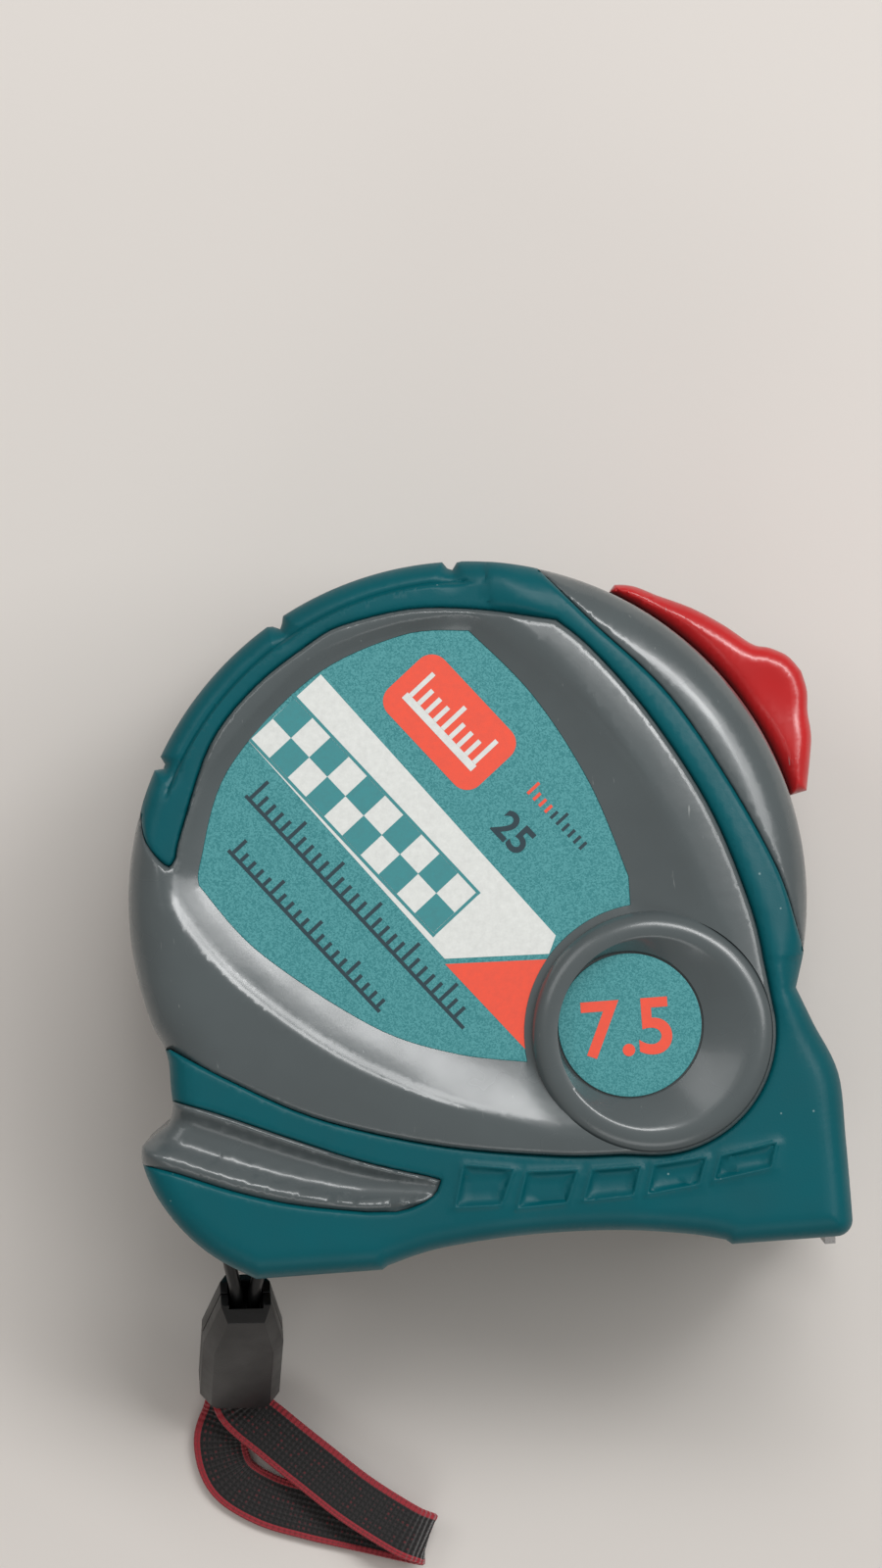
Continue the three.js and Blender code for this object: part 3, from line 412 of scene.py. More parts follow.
NOISE = "ShaderNodeTexNoise"
RANGE = "ShaderNodeMapRange"
MATHS = "ShaderNodeMath"
MIX = "ShaderNodeMix"  # for colours, its sockets are 0 for the share, 6 and 7, and output 2


def linear(hex_colour):
    """An sRGB hex value as a linear colour with alpha."""
    parts = [int(hex_colour[i : i + 2], 16) / 255 for i in (1, 3, 5)]
    return (*[c / 12.92 if c <= 0.04045 else ((c + 0.055) / 1.055) ** 2.4 for c in parts], 1.0)


def darker(colour):
    """The same linear colour with an eighth less light in it."""
    return (*[part * 0.88 for part in colour[:3]], 1.0)


def add_node(tree, kind, inputs, output=0, **settings):
    """Adds one node with its settings and gives one of its outputs. An input that is another
    node's output is linked."""
    node = tree.nodes.new(kind)
    for key, value in settings.items():
        setattr(node, key, value)
    for key, value in inputs.items():
        if isinstance(value, bpy.types.NodeSocket):
            tree.links.new(value, node.inputs[key])
        else:
            node.inputs[key].default_value = value
    return node.outputs[output]


def start_material(name, **shader):
    """A material, its node tree, its Principled shader and a socket of positions in millimetres."""
    material = bpy.data.materials.new(name)
    material.use_nodes = True
    tree = material.node_tree
    principled = tree.nodes["Principled BSDF"]
    for key, value in shader.items():
        principled.inputs[key.replace("_", " ")].default_value = value
    place = add_node(tree, "ShaderNodeTexCoord", {}, "Object")
    in_mm = add_node(tree, "ShaderNodeVectorMath", {0: place, 1: (1000, 1000, 1000)}, operation="MULTIPLY")
    return material, tree, principled, in_mm


def blended(tree, value, start, end, first, second, most=1.0):
    """The first colour where a value is at start, and most of the second where it is at end."""
    ends = {"Value": value, "From Min": start, "From Max": end, "To Min": 0, "To Max": most}
    share = add_node(tree, RANGE, ends)
    return add_node(tree, MIX, {0: share, 6: first, 7: second}, 2, data_type="RGBA")


def finish_material(tree, principled, colour, worn, rough, height=None, depth_mm=0.0):
    """Links the colour, the roughness from one end to the other by how worn, and the bump."""
    ends = {"Value": worn, "From Min": 0.3, "From Max": 0.7, "To Min": rough[0], "To Max": rough[1]}
    tree.links.new(colour, principled.inputs["Base Color"])
    tree.links.new(add_node(tree, RANGE, ends), principled.inputs["Roughness"])
    if height is not None:
        relief = {"Height": height, "Strength": 1.0, "Distance": depth_mm * MM}
        tree.links.new(add_node(tree, "ShaderNodeBump", relief), principled.inputs["Normal"])


def moulded_abs(name, colour, gloss=0.26):
    """Glossy moulded ABS: even colour with a faint orange peel, small scuffs and dust."""
    material, tree, principled, place = start_material(name, IOR=1.53, Coat_Weight=0.25, Coat_Roughness=0.12)
    cloud = add_node(tree, NOISE, {"Vector": place, "Scale": 1 / 9.0, "Detail": 2, "Roughness": 0.6})
    tint = blended(tree, cloud, 0.3, 0.7, colour, darker(colour))
    # scuffs are about 0.15 mm wide; they are drawn at 0.5 mm so that they show
    turned_place = {"Vector": place, "Rotation": (0, 0, 0.7), "Scale": (1, 0.12, 1)}
    stretched = add_node(tree, "ShaderNodeMapping", turned_place)
    scuff = add_node(tree, NOISE, {"Vector": stretched, "Scale": 1 / 0.5, "Detail": 2, "Roughness": 0.6})
    dusty = blended(tree, scuff, 0.73, 0.8, tint, linear("#8d9291"), 0.7)
    peel = add_node(tree, NOISE, {"Vector": place, "Scale": 1 / 1.6, "Detail": 1, "Roughness": 0.6})
    finish_material(tree, principled, dusty, cloud, (gloss - 0.04, gloss + 0.07), peel, 0.012)
    return material


def moulded_rubber(name, colour):
    """Thermoplastic rubber overmould: satin, with a fine spark-eroded grain and a few dust specks."""
    material, tree, principled, place = start_material(name, IOR=1.5, Specular_IOR_Level=0.22)
    cloud = add_node(tree, NOISE, {"Vector": place, "Scale": 1 / 12.0, "Detail": 3, "Roughness": 0.6})
    tint = blended(tree, cloud, 0.3, 0.7, colour, darker(colour))
    # specks of dust about 0.2 mm across, one every few millimetres
    dots = add_node(tree, "ShaderNodeTexVoronoi", {"Vector": place, "Scale": 0.32}, "Distance", feature="F1")
    dusty = blended(tree, dots, 0.05, 0.03, tint, linear("#9ab4b4"), 0.5)
    # the mould's grain is about 0.1 mm; it is drawn at 0.25 mm so that it shows
    fine = add_node(tree, NOISE, {"Vector": place, "Scale": 1 / 0.25, "Detail": 2, "Roughness": 0.6})
    finish_material(tree, principled, dusty, cloud, (0.36, 0.46), fine, 0.01)
    return material


def pearl_film(name, colour, lighter):
    """Printed polyester film with a pearl ground: fine bright flakes that glint as it turns."""
    material, tree, principled, place = start_material(
        name, IOR=1.55, Coat_Weight=0.15, Coat_Roughness=0.3, Metallic=0.15
    )
    # pearl flakes are about 0.05 mm; they are drawn at 0.15 mm so that they show
    flakes = add_node(tree, "ShaderNodeTexVoronoi", {"Vector": place, "Scale": 6.5}, "Color", feature="F1")
    shine = add_node(tree, "ShaderNodeSeparateColor", {"Color": flakes}, "Red")
    tint = blended(tree, shine, 0.1, 0.9, colour, lighter)
    finish_material(tree, principled, tint, shine, (0.3, 0.5), shine, 0.004)
    return material


def printed_ink(name, colour):
    """Screen-printed ink on the film: nearly flat colour with a slightly mottled density."""
    material, tree, principled, place = start_material(name, IOR=1.5)
    mottle = add_node(tree, NOISE, {"Vector": place, "Scale": 1 / 0.6, "Detail": 3, "Roughness": 0.6})
    tint = blended(tree, mottle, 0.3, 0.7, colour, darker(colour))
    finish_material(tree, principled, tint, mottle, (0.38, 0.5), mottle, 0.003)
    return material


def moulded_nylon(name, colour, rough=0.42):
    """Moulded nylon, acetal or rubber: near-matt, with a fine texture and slightly paler patches."""
    material, tree, principled, place = start_material(name, IOR=1.53)
    cloud = add_node(tree, NOISE, {"Vector": place, "Scale": 1 / 4.0, "Detail": 3, "Roughness": 0.6})
    tint = blended(tree, cloud, 0.3, 0.7, colour, darker(colour))
    fine = add_node(tree, NOISE, {"Vector": place, "Scale": 1 / 0.3, "Detail": 2, "Roughness": 0.6})
    finish_material(tree, principled, tint, cloud, (rough - 0.08, rough + 0.08), fine, 0.01)
    return material


def plated_steel(name, colour, rough=0.28, brushed=True):
    """Pressed steel, plated or blued: metallic, with fine rolling lines and dulled patches."""
    material, tree, principled, place = start_material(name, Metallic=1.0)
    cloud = add_node(tree, NOISE, {"Vector": place, "Scale": 1 / 5.0, "Detail": 3, "Roughness": 0.6})
    tint = blended(tree, cloud, 0.3, 0.7, colour, darker(colour))
    # rolling lines are about 0.05 mm apart; they are drawn 0.2 mm apart so that they show
    rolled = {"Vector": place, "Scale": (1, 0.03 if brushed else 1, 1)}
    lines = add_node(tree, "ShaderNodeMapping", rolled)
    streak = add_node(tree, NOISE, {"Vector": lines, "Scale": 1 / 0.2, "Detail": 2, "Roughness": 0.6})
    finish_material(tree, principled, tint, streak, (rough - 0.06, rough + 0.1), streak, 0.004)
    return material


def lacquered_blade(name):
    """Lacquered steel blade: yellow ground with black graduations every millimetre, longer each
    five and ten, worked out from the distance along the blade."""
    material, tree, principled, place = start_material(name, IOR=1.5, Coat_Weight=0.4, Coat_Roughness=0.1)
    along = add_node(tree, "ShaderNodeSeparateXYZ", {"Vector": place}, "X")
    across = add_node(tree, "ShaderNodeSeparateXYZ", {"Vector": place}, "Z")
    side = add_node(tree, MATHS, {0: across, 1: CASE_MIDDLE.z / MM}, operation="SUBTRACT")
    from_middle = add_node(tree, MATHS, {0: side}, operation="ABSOLUTE")
    marks = None
    # millimetres between marks, half a mark's width, and how near the blade's middle they come
    for spacing, half_width, inner_end in ((1.0, 0.07, 9.8), (5.0, 0.09, 8.2), (10.0, 0.11, 5.6)):
        to_mark = add_node(tree, MATHS, {0: along, 1: spacing / 2}, operation="PINGPONG")
        on_mark = add_node(tree, MATHS, {0: to_mark, 1: half_width}, operation="LESS_THAN")
        outside = add_node(tree, MATHS, {0: from_middle, 1: inner_end}, operation="GREATER_THAN")
        here = add_node(tree, MATHS, {0: on_mark, 1: outside}, operation="MULTIPLY")
        if marks is None:
            marks = here
        else:
            marks = add_node(tree, MATHS, {0: marks, 1: here}, operation="MAXIMUM")
    cloud = add_node(tree, NOISE, {"Vector": place, "Scale": 1 / 6.0, "Detail": 3, "Roughness": 0.6})
    ground = blended(tree, cloud, 0.3, 0.7, linear("#e9c31f"), linear("#dcb414"))
    printed = add_node(tree, MIX, {0: marks, 6: ground, 7: linear("#161616")}, 2, data_type="RGBA")
    finish_material(tree, principled, printed, cloud, (0.28, 0.4))
    return material


def woven_strap(name):
    """Woven polyester webbing: a black net weave with red selvedges and a few red threads.
    The weave follows the strap through the UV map, U along it and V across it, in millimetres."""
    material, tree, principled, _ = start_material(
        name, Sheen_Weight=0.3, Sheen_Roughness=0.5, Roughness=0.85
    )
    laid = add_node(tree, "ShaderNodeUVMap", {}, uv_map="weave")
    along = add_node(tree, "ShaderNodeSeparateXYZ", {"Vector": laid}, "X")
    across = add_node(tree, "ShaderNodeSeparateXYZ", {"Vector": laid}, "Y")
    # threads cross every 0.9 mm, at 45 degrees either way
    turn = 2 * math.pi / 0.9 * 0.7
    waves = []
    for slant in (turn, -turn):
        one = add_node(tree, MATHS, {0: along, 1: turn}, operation="MULTIPLY")
        two = add_node(tree, MATHS, {0: across, 1: slant}, operation="MULTIPLY")
        both = add_node(tree, MATHS, {0: one, 1: two}, operation="ADD")
        waves.append(add_node(tree, MATHS, {0: both}, operation="SINE"))
    cross = add_node(tree, MATHS, {0: waves[0], 1: waves[1]}, operation="MULTIPLY")
    away = add_node(tree, MATHS, {0: across}, operation="ABSOLUTE")
    knot_ends = {"Value": cross, "From Min": 0.35, "From Max": 0.6, "To Min": 0, "To Max": 1}
    knot = add_node(tree, RANGE, knot_ends)
    strays = add_node(tree, NOISE, {"Vector": laid, "Scale": 1 / 1.1, "Detail": 1, "Roughness": 0.6})
    stray_ends = {"Value": strays, "From Min": 0.52, "From Max": 0.62, "To Min": 0, "To Max": 0.5}
    stray = add_node(tree, RANGE, stray_ends)
    red_thread = add_node(tree, MATHS, {0: knot, 1: stray}, operation="MULTIPLY")
    # painted light and shade: the raised thread crossings are painted a lighter black and the hollows between
    # them a darker black
    lit_and_shaded_blacks = {0: knot, 6: linear("#0d0b0c"), 7: linear("#2a2224")}
    black = add_node(tree, MIX, lit_and_shaded_blacks, 2, data_type="RGBA")
    netted = add_node(tree, MIX, {0: red_thread, 6: black, 7: linear("#7a1c26")}, 2, data_type="RGBA")
    # the red selvedge is the outer 0.6 mm of each side
    edge = add_node(tree, MATHS, {0: away, 1: 2.42}, operation="GREATER_THAN")
    edged = add_node(tree, MIX, {0: edge, 6: netted, 7: linear("#a32632")}, 2, data_type="RGBA")
    tree.links.new(edged, principled.inputs["Base Color"])
    relief = {"Height": cross, "Strength": 1.0, "Distance": 0.22 * MM}
    tree.links.new(add_node(tree, "ShaderNodeBump", relief), principled.inputs["Normal"])
    return material


def matt_floor(name):
    """Matt painted board: pale warm grey with a barely visible tooth."""
    material, tree, principled, place = start_material(name, IOR=1.45)
    cloud = add_node(tree, NOISE, {"Vector": place, "Scale": 1 / 140.0, "Detail": 2, "Roughness": 0.6})
    tint = blended(tree, cloud, 0.3, 0.7, linear("#dbd6d1"), linear("#d5d0cb"))
    tooth = add_node(tree, NOISE, {"Vector": place, "Scale": 1 / 2.0, "Detail": 2, "Roughness": 0.6})
    finish_material(tree, principled, tint, cloud, (0.5, 0.6), tooth, 0.01)
    return material


MATERIALS = {}  # filled by the finishes operator


# ---------------------------------------------------------------- faces of the case


def ring_offsets(radius):
    """Distances from an edge at which a rounded edge needs points."""
    return [radius * (1 - math.cos(math.radians(a))) for a in (18, 34, 50, 66, 82)]


EDGE_RADIUS = 3.0  # the case's outer edge
SEAM_RADIUS = 0.6  # where grey and teal meet
MARK_STEPS = (-0.3, -0.12, 0.12, 0.3)
EDGE_STEP = 0.55  # between points along the outlines


def along_normals(line, distances):
    """Copies of a closed line's points, moved along its normals by each distance."""
    p = np.array(line, float)
    t = np.roll(p, -1, axis=0) - np.roll(p, 1, axis=0)
    n = np.stack([-t[:, 1], t[:, 0]], axis=1)
    n /= np.maximum(np.linalg.norm(n, axis=1), 1e-9)[:, None]
    return np.vstack([p + n * d for d in distances])


def face_mesh(grid_step):
    """One triangle mesh over the whole side of the case, and each triangle's region."""
    ring = circle(RING_CENTRE, RING_RADIUS - SKIN_LAP, 120)
    bores = [circle(at, BORE_RADIUS, 30) for at in SCREWS]
    lines = [SILHOUETTE, PANEL, FRONT, SCOOP, LABEL, ring, *bores, *MARKS]
    evens = [even(line, EDGE_STEP) for line in lines]
    edge_rings = ring_offsets(EDGE_RADIUS)
    seam_rings = ring_offsets(SEAM_RADIUS) + [SEAM_RADIUS * 1.6]
    loose = [along_normals(evens[0], [-d for d in edge_rings] + edge_rings)]
    for line in evens[1:5]:
        loose.append(along_normals(line, [-d for d in seam_rings] + seam_rings))
    for line in evens[-len(MARKS) :]:
        loose.append(along_normals(line, MARK_STEPS))
    loose.append(along_normals(even(RIDGE, 0.6), (-1.0, -0.5, -0.2, 0.0, 0.2, 0.5, 1.0)))
    loose.append(along_normals(even(GRIP_LINE, 0.5), (-0.3, -0.1, 0.1, 0.3)))
    xs = np.arange(-40, 42, grid_step)
    ys = np.arange(-42, 40, grid_step)
    loose.append(np.stack(np.meshgrid(xs, ys), axis=2).reshape(-1, 2))
    points = np.vstack(loose)
    points = points[inside(points, evens[0])]
    points = points[np.min([reach(points, line) for line in evens], axis=0) > 0.008]
    # thin out points that crowd each other: one in each cell of 0.16 mm
    _, first = np.unique(np.round(points / 0.16).astype(int), axis=0, return_index=True)
    points = points[np.sort(first)]
    verts = [Vector(p) for p in points]
    edges = []
    for line in evens:
        start = len(verts)
        verts += [Vector(p) for p in line]
        edges += [(start + i, start + (i + 1) % len(line)) for i in range(len(line))]
    made = delaunay_2d_cdt(verts, edges, [], 0, 1e-5)
    flat = np.array([tuple(v) for v in made[0]])
    triangles = np.array([f for f in made[2] if len(f) == 3])
    centres = flat[triangles].mean(1)
    region = np.full(len(triangles), "jacket", dtype="U8")
    region[inside(centres, SILHOUETTE) == 0] = "none"
    for name, line in (("panel", PANEL), ("front", FRONT), ("scoop", SCOOP)):
        region[inside(centres, line) & (region != "none")] = name
    region[inside(centres, LABEL) & (region == "panel")] = "label"
    region[np.hypot(*(centres - RING_CENTRE).T) < RING_RADIUS - SKIN_LAP - 0.01] = "none"
    bored = np.min([np.hypot(*(centres - at).T) for at in SCREWS], axis=0) < BORE_RADIUS
    return flat, triangles, region, bored


def outer_edges(triangles):
    """The boundary edges of a set of triangles, in their winding order."""
    seen = {}  # keeps the order, as a set doesn't
    for a, b, c in triangles:
        for edge in ((a, b), (b, c), (c, a)):
            seen[edge] = True
    return [edge for edge in seen if (edge[1], edge[0]) not in seen]


def flank(points, width):
    """How far a side falls away in one broad round, within a width of the outline."""
    left = np.clip(1 - reach(points, SILHOUETTE) / width, 0, 1)
    return FLANK_DROP * (1 - np.sqrt(1 - left**2))


FLANK_DROP = 4.4
BAND_RISE = 0.75
GRIP_START, GRIP_END = 84, 158  # degrees
ROLL_WIDTH = 2.4  # of the grip's outer roll
GRIP_DROP = 0.3
CREASE_DEPTH = 0.25
NOSE_FOLD_X = 34.2
NOSE_DROP = 0.55
MARK_RIM = 0.25
MARK_DEPTH = 0.45
# The grip's outer roll ends at this line.
GRIP_LINE = arc((0, 0), BODY_RADIUS - ROLL_WIDTH, GRIP_START, GRIP_END, 90)


def jacket_height(points, side):
    """The rubber's height: flat, rounded to the outline and dipping to the grey parts."""
    to_outline = reach(points, SILHOUETTE)
    to_panel, to_front, to_scoop = (reach(points, line) for line in (PANEL, FRONT, SCOOP))
    to_seam = np.minimum(np.minimum(to_panel, to_front), to_scoop)
    height = JACKET_TOP - rounded(to_outline, EDGE_RADIUS) - rounded(to_seam, SEAM_RADIUS)
    # the slanting band is a raised strip with its crest near the panel
    band = np.exp(-((to_front / 7) ** 4)) * (points[:, 0] > 5)
    height += BAND_RISE * band * ease(to_panel / 1.5) * ease(to_front / 4.5)
    # the grip round the top and back: an outer roll set off by a crease
    angle = np.degrees(np.arctan2(points[:, 1], points[:, 0])) % 360
    grip = ease((angle - GRIP_START) / 3) * ease((GRIP_END - angle) / 3)
    inwards = BODY_RADIUS - np.hypot(points[:, 0], points[:, 1])
    step = GRIP_DROP * ease((inwards - ROLL_WIDTH) / 0.35)
    crease = CREASE_DEPTH * np.exp(-(((inwards - ROLL_WIDTH + 0.1) / 0.22) ** 2))
    height += grip * (step - crease - GRIP_DROP)
    # the nose falls away a little in front of a fold
    fold = (points[:, 0] - NOSE_FOLD_X) * 0.9 + (points[:, 1] + 16) * 0.25
    height -= NOSE_DROP * ease(fold / 7) * (points[:, 1] < -9)
    for mark in MARKS:
        near = reach(points, mark)
        inwards = np.where(inside(points, mark), near, -near)
        height += MARK_RIM * np.exp(-((inwards / 0.3) ** 2)) - MARK_DEPTH * ease((inwards - 0.1) / 0.45)
    return height


RIDGE_TOP = PANEL_TOP + 0.45


def panel_height(points, side):
    """The glossy panel: up from the label's edge to the crest, then down to the rubber."""
    to_label, to_ridge, to_edge = (reach(points, line) for line in (LABEL, RIDGE, PANEL))
    within = inside(points, RIDGE)
    foot = LABEL_TOP + 0.12
    up = to_label / np.maximum(to_label + to_ridge, 1e-6)
    width = np.clip(to_label + to_ridge, 0, 6) / 6
    top = RIDGE_TOP - 0.9 * (1 - width)
    inner = foot + (top - foot) * (0.8 * up + 0.2 * up**2)
    down = to_ridge / np.maximum(to_ridge + to_edge, 1e-6)
    across = np.clip((to_ridge + to_edge) / 9, 0.25, 1.2)
    outer = top - across * (0.35 * down + 0.85 * down**2)
    height = np.where(within, inner, outer)
    # the crest is rounded over, not sharp
    height -= 0.07 * np.exp(-((to_ridge / 0.32) ** 2))
    height -= rounded(to_edge, SEAM_RADIUS)
    # towards the back it reaches the outline
    height -= flank(points, EDGE_RADIUS + 3) * (points[:, 0] < -25)
    if side < 0:
        height = seated(points, height)
    return height


def front_height(points, side):
    """The front strip falls away in one broad round from the slanting band to the outline."""
    to_edge = reach(points, FRONT)
    return JACKET_TOP - 0.2 - 0.06 * to_edge - flank(points, 5.4) - rounded(to_edge, SEAM_RADIUS)


SCOOP_DEPTH = 1.7


def scoop_height(points, side):
    """The finger scoop: a trough between two rims that closes towards its tip."""
    upper = reach(points, SCOOP_UPPER, closed=False)
    lower = reach(points, SCOOP_LOWER, closed=False)
    share = upper / np.maximum(upper + lower, 1e-6)
    trough = np.where(share < 0.6, ease(share / 0.3), 1 - ease((share - 0.55) / 0.3))
    depth = SCOOP_DEPTH * ease((upper + lower) / 6.5)
    height = JACKET_TOP + 0.25 - depth * trough - 0.5 * ease((share - 0.85) / 0.15)
    height -= rounded(reach(points, SCOOP), SEAM_RADIUS)
    return height - rounded(reach(points, SILHOUETTE), EDGE_RADIUS - 0.4)


SEAT_BOX = (9.7, 9.3, 28)  # half its width, and its lowest and highest y


def seated(points, height):
    """The belt clip's foot has a flat seat on the lower side."""
    half_width, low_y, high_y = SEAT_BOX
    past_y = np.maximum(low_y - points[:, 1], points[:, 1] - high_y)
    beyond = np.maximum(np.abs(points[:, 0]) - half_width, past_y)
    seat = PANEL_TOP - 0.55
    return np.where(height > seat, seat + (height - seat) * ease(beyond / 0.5), height)


def plate_height(points, side):
    """The lower side has no label: its place is a flat plate, sunk a little."""
    return np.full(len(points), PANEL_TOP - 0.6) - 0.9 * (1 - ease(reach(points, LABEL) / 0.9))


HEIGHTS = {
    "jacket": jacket_height,
    "panel": panel_height,
    "front": front_height,
    "scoop": scoop_height,
    "label": plate_height,
}
# Openings in the case's edge wall: where, as (lowest x, lowest y, highest x, highest y), and how
# far they reach to each side of the seam.
HOOK_RECESS = (37.0, -43, 43, -26.5)
STRAP_NOTCH = (-35.3, -43, -23.1, -34.8)
OPENINGS = ((HOOK_RECESS, 12.8), (STRAP_NOTCH, 5.2))
LOCK_SLOT = (16, 51)  # degrees
SLOT_HALF = 4.5
# The edge wall goes down in rings, at the heights where openings begin and end, and is drawn in
# a little at the seam.
SEAM_PULL = 0.25
WALL_RINGS = (13.6, 12.8, 9.0, 5.2, SLOT_HALF, 2.2, HALF_SPLIT + SEAM_PULL, HALF_SPLIT)


def cut_out(middle, z):
    """Whether a piece of edge wall lies in an opening."""
    for (x0, y0, x1, y1), half in OPENINGS:
        if x0 < middle[0] < x1 and y0 < middle[1] < y1 and z < half:
            return True
    angle = math.degrees(math.atan2(middle[1], middle[0]))
    far = math.hypot(*middle) > BODY_RADIUS - 1
    return far and LOCK_SLOT[0] < angle < LOCK_SLOT[1] and z < SLOT_HALF


def region_piece(name, mesh_data, wanted, side, material):
    """One region of one side of the case: its face, and the wall down from its boundary."""
    flat, triangles, region, bored = mesh_data
    if side < 0:
        triangles, region = triangles[~bored], region[~bored]
    chosen = triangles[np.isin(region, wanted)]
    used, index = np.unique(chosen, return_inverse=True)
    points = flat[used]
    chosen = index.reshape(-1, 3)
    boundary = outer_edges(chosen)
    height = np.empty(len(points))
    done = np.zeros(len(points), bool)
    for kind in wanted:
        inner = np.unique(np.searchsorted(used, triangles[region == kind]))
        fresh = inner[~done[inner]]
        done[fresh] = True
        height[fresh] = HEIGHTS[kind](points[fresh], side)
    verts = [(x, y, side * z) for (x, y), z in zip(points, height)]
    faces = [tuple(t) for t in chosen]
    on_outline = reach(points, SILHOUETTE) < 0.02
    below = {}
    for a in sorted({v for edge in boundary for v in edge}):
        x, y = points[a]
        if on_outline[a]:
            column = [a]
            for z in WALL_RINGS:
                pull = SEAM_PULL if z == HALF_SPLIT else 0.0
                length = math.hypot(x, y)
                column.append(len(verts))
                verts.append((x * (1 - pull / length), y * (1 - pull / length), side * z))
        else:
            column = [a, len(verts)]
            verts.append((x, y, side * (WALL_TOP - 0.2)))
        below[a] = column
    for a, b in boundary:
        first, second = below[a], below[b]
        middle = (points[a] + points[b]) / 2
        if len(first) == len(second) and on_outline[a] and on_outline[b]:
            for k in range(len(first) - 1):
                z = abs(verts[second[k + 1]][2] + verts[second[k]][2]) / 2 if k else 99
                if not cut_out(middle, z):
                    faces.append((first[k], first[k + 1], second[k + 1], second[k]))
        else:
            faces.append((a, first[-1], second[-1], b))
    obj = new_object(name, verts, faces, "case", material)
    face_outwards(obj)
    shade(obj, 50)
    return obj


# ---------------------------------------------------------------- settings


class FinishSettings(bpy.types.PropertyGroup):
    rubber: FloatVectorProperty(
        name="Rubber",
        description="Colour of the rubber jacket",
        subtype="COLOR",
        size=4,
        default=linear("#00565f"),
    )
    plastic: FloatVectorProperty(
        name="Plastic",
        description="Colour of the glossy panels and rims",
        subtype="COLOR",
        size=4,
        default=linear("#525a5c"),
    )
    button: FloatVectorProperty(
        name="Button",
        description="Colour of the lock button",
        subtype="COLOR",
        size=4,
        default=linear("#c41d20"),
    )


class CaseSettings(bpy.types.PropertyGroup):
    mesh_step: FloatProperty(
        name="Mesh step",
        description="Distance between points on the case's faces, in millimetres",
        default=0.85,
        min=0.5,
        max=3.0,
    )


class PrintSettings(bpy.types.PropertyGroup):
    tick_step: FloatProperty(
        name="Tick step",
        description="Distance between the label's printed ticks, in millimetres",
        default=1.25,
    )


class StageSettings(bpy.types.PropertyGroup):
    camera_height: FloatProperty(
        name="Camera height",
        description="Height of the camera above the middle of the case",
        default=0.90,
        unit="LENGTH",
    )
    roll: FloatProperty(
        name="Roll",
        description="How far the camera is turned about its view",
        default=math.radians(4.2),
        subtype="ANGLE",
    )
    key_power: FloatProperty(
        name="Key light",
        description="Power of the large soft light",
        default=4.4,
        unit="POWER",
    )
    fill_power: FloatProperty(
        name="Fill light",
        description="Power of the other lamps",
        default=2.2,
        unit="POWER",
    )


# ---------------------------------------------------------------- operators


class TAPE_OT_finishes(bpy.types.Operator):
    """The materials of all the pieces"""

    bl_idname = "tape.finishes"
    bl_label = "Finishes"

    def execute(self, context):
        colours = context.scene.tape_finish
        rubber, plastic, button = (tuple(c) for c in (colours.rubber, colours.plastic, colours.button))
        MATERIALS.update(
            grey=moulded_abs("Moulded grey ABS", plastic),
            red=moulded_abs("Moulded red ABS", button, 0.3),
            teal=moulded_rubber("Moulded teal rubber", rubber),
            film=pearl_film("Pearl teal label film", linear("#38858a"), linear("#4b989c")),
            white_ink=printed_ink("Off-white screen ink", linear("#dfe2df")),
            red_ink=printed_ink("Red-orange screen ink", linear("#f0563f")),
            dark_ink=printed_ink("Blue-black screen ink", linear("#233b44")),
            teal_ink=printed_ink("Teal screen ink", linear("#3c8b90")),
            black=moulded_nylon("Moulded black nylon", linear("#0d0e0f"), 0.36),
            acetal=moulded_nylon("Moulded white acetal", linear("#dcdcd6"), 0.4),
            steel=plated_steel("Nickel-plated pressed steel", linear("#c9cbcd")),
            spring=plated_steel("Blued spring steel", linear("#6d7276"), 0.32),
            dark_steel=plated_steel("Black zinc-plated steel", linear("#3b3e42"), 0.4, False),
            blade=lacquered_blade("Lacquered steel blade"),
            webbing=woven_strap("Woven black and red webbing"),
            brake=moulded_nylon("Moulded black brake rubber", linear("#252628"), 0.7),
            floor=matt_floor("Matt pale board"),
        )
        return {"FINISHED"}


VIEW_CENTRE = Vector((-2.07, 13.41, 0))  # millimetres about the case's middle
VIEW_HEIGHT = 0.1808  # metres of the middle plane from the top to the bottom of the view
SENSOR = 36  # millimetres
FLOOR_HALF = 1.5  # metres
FLOOR_STEPS = 12


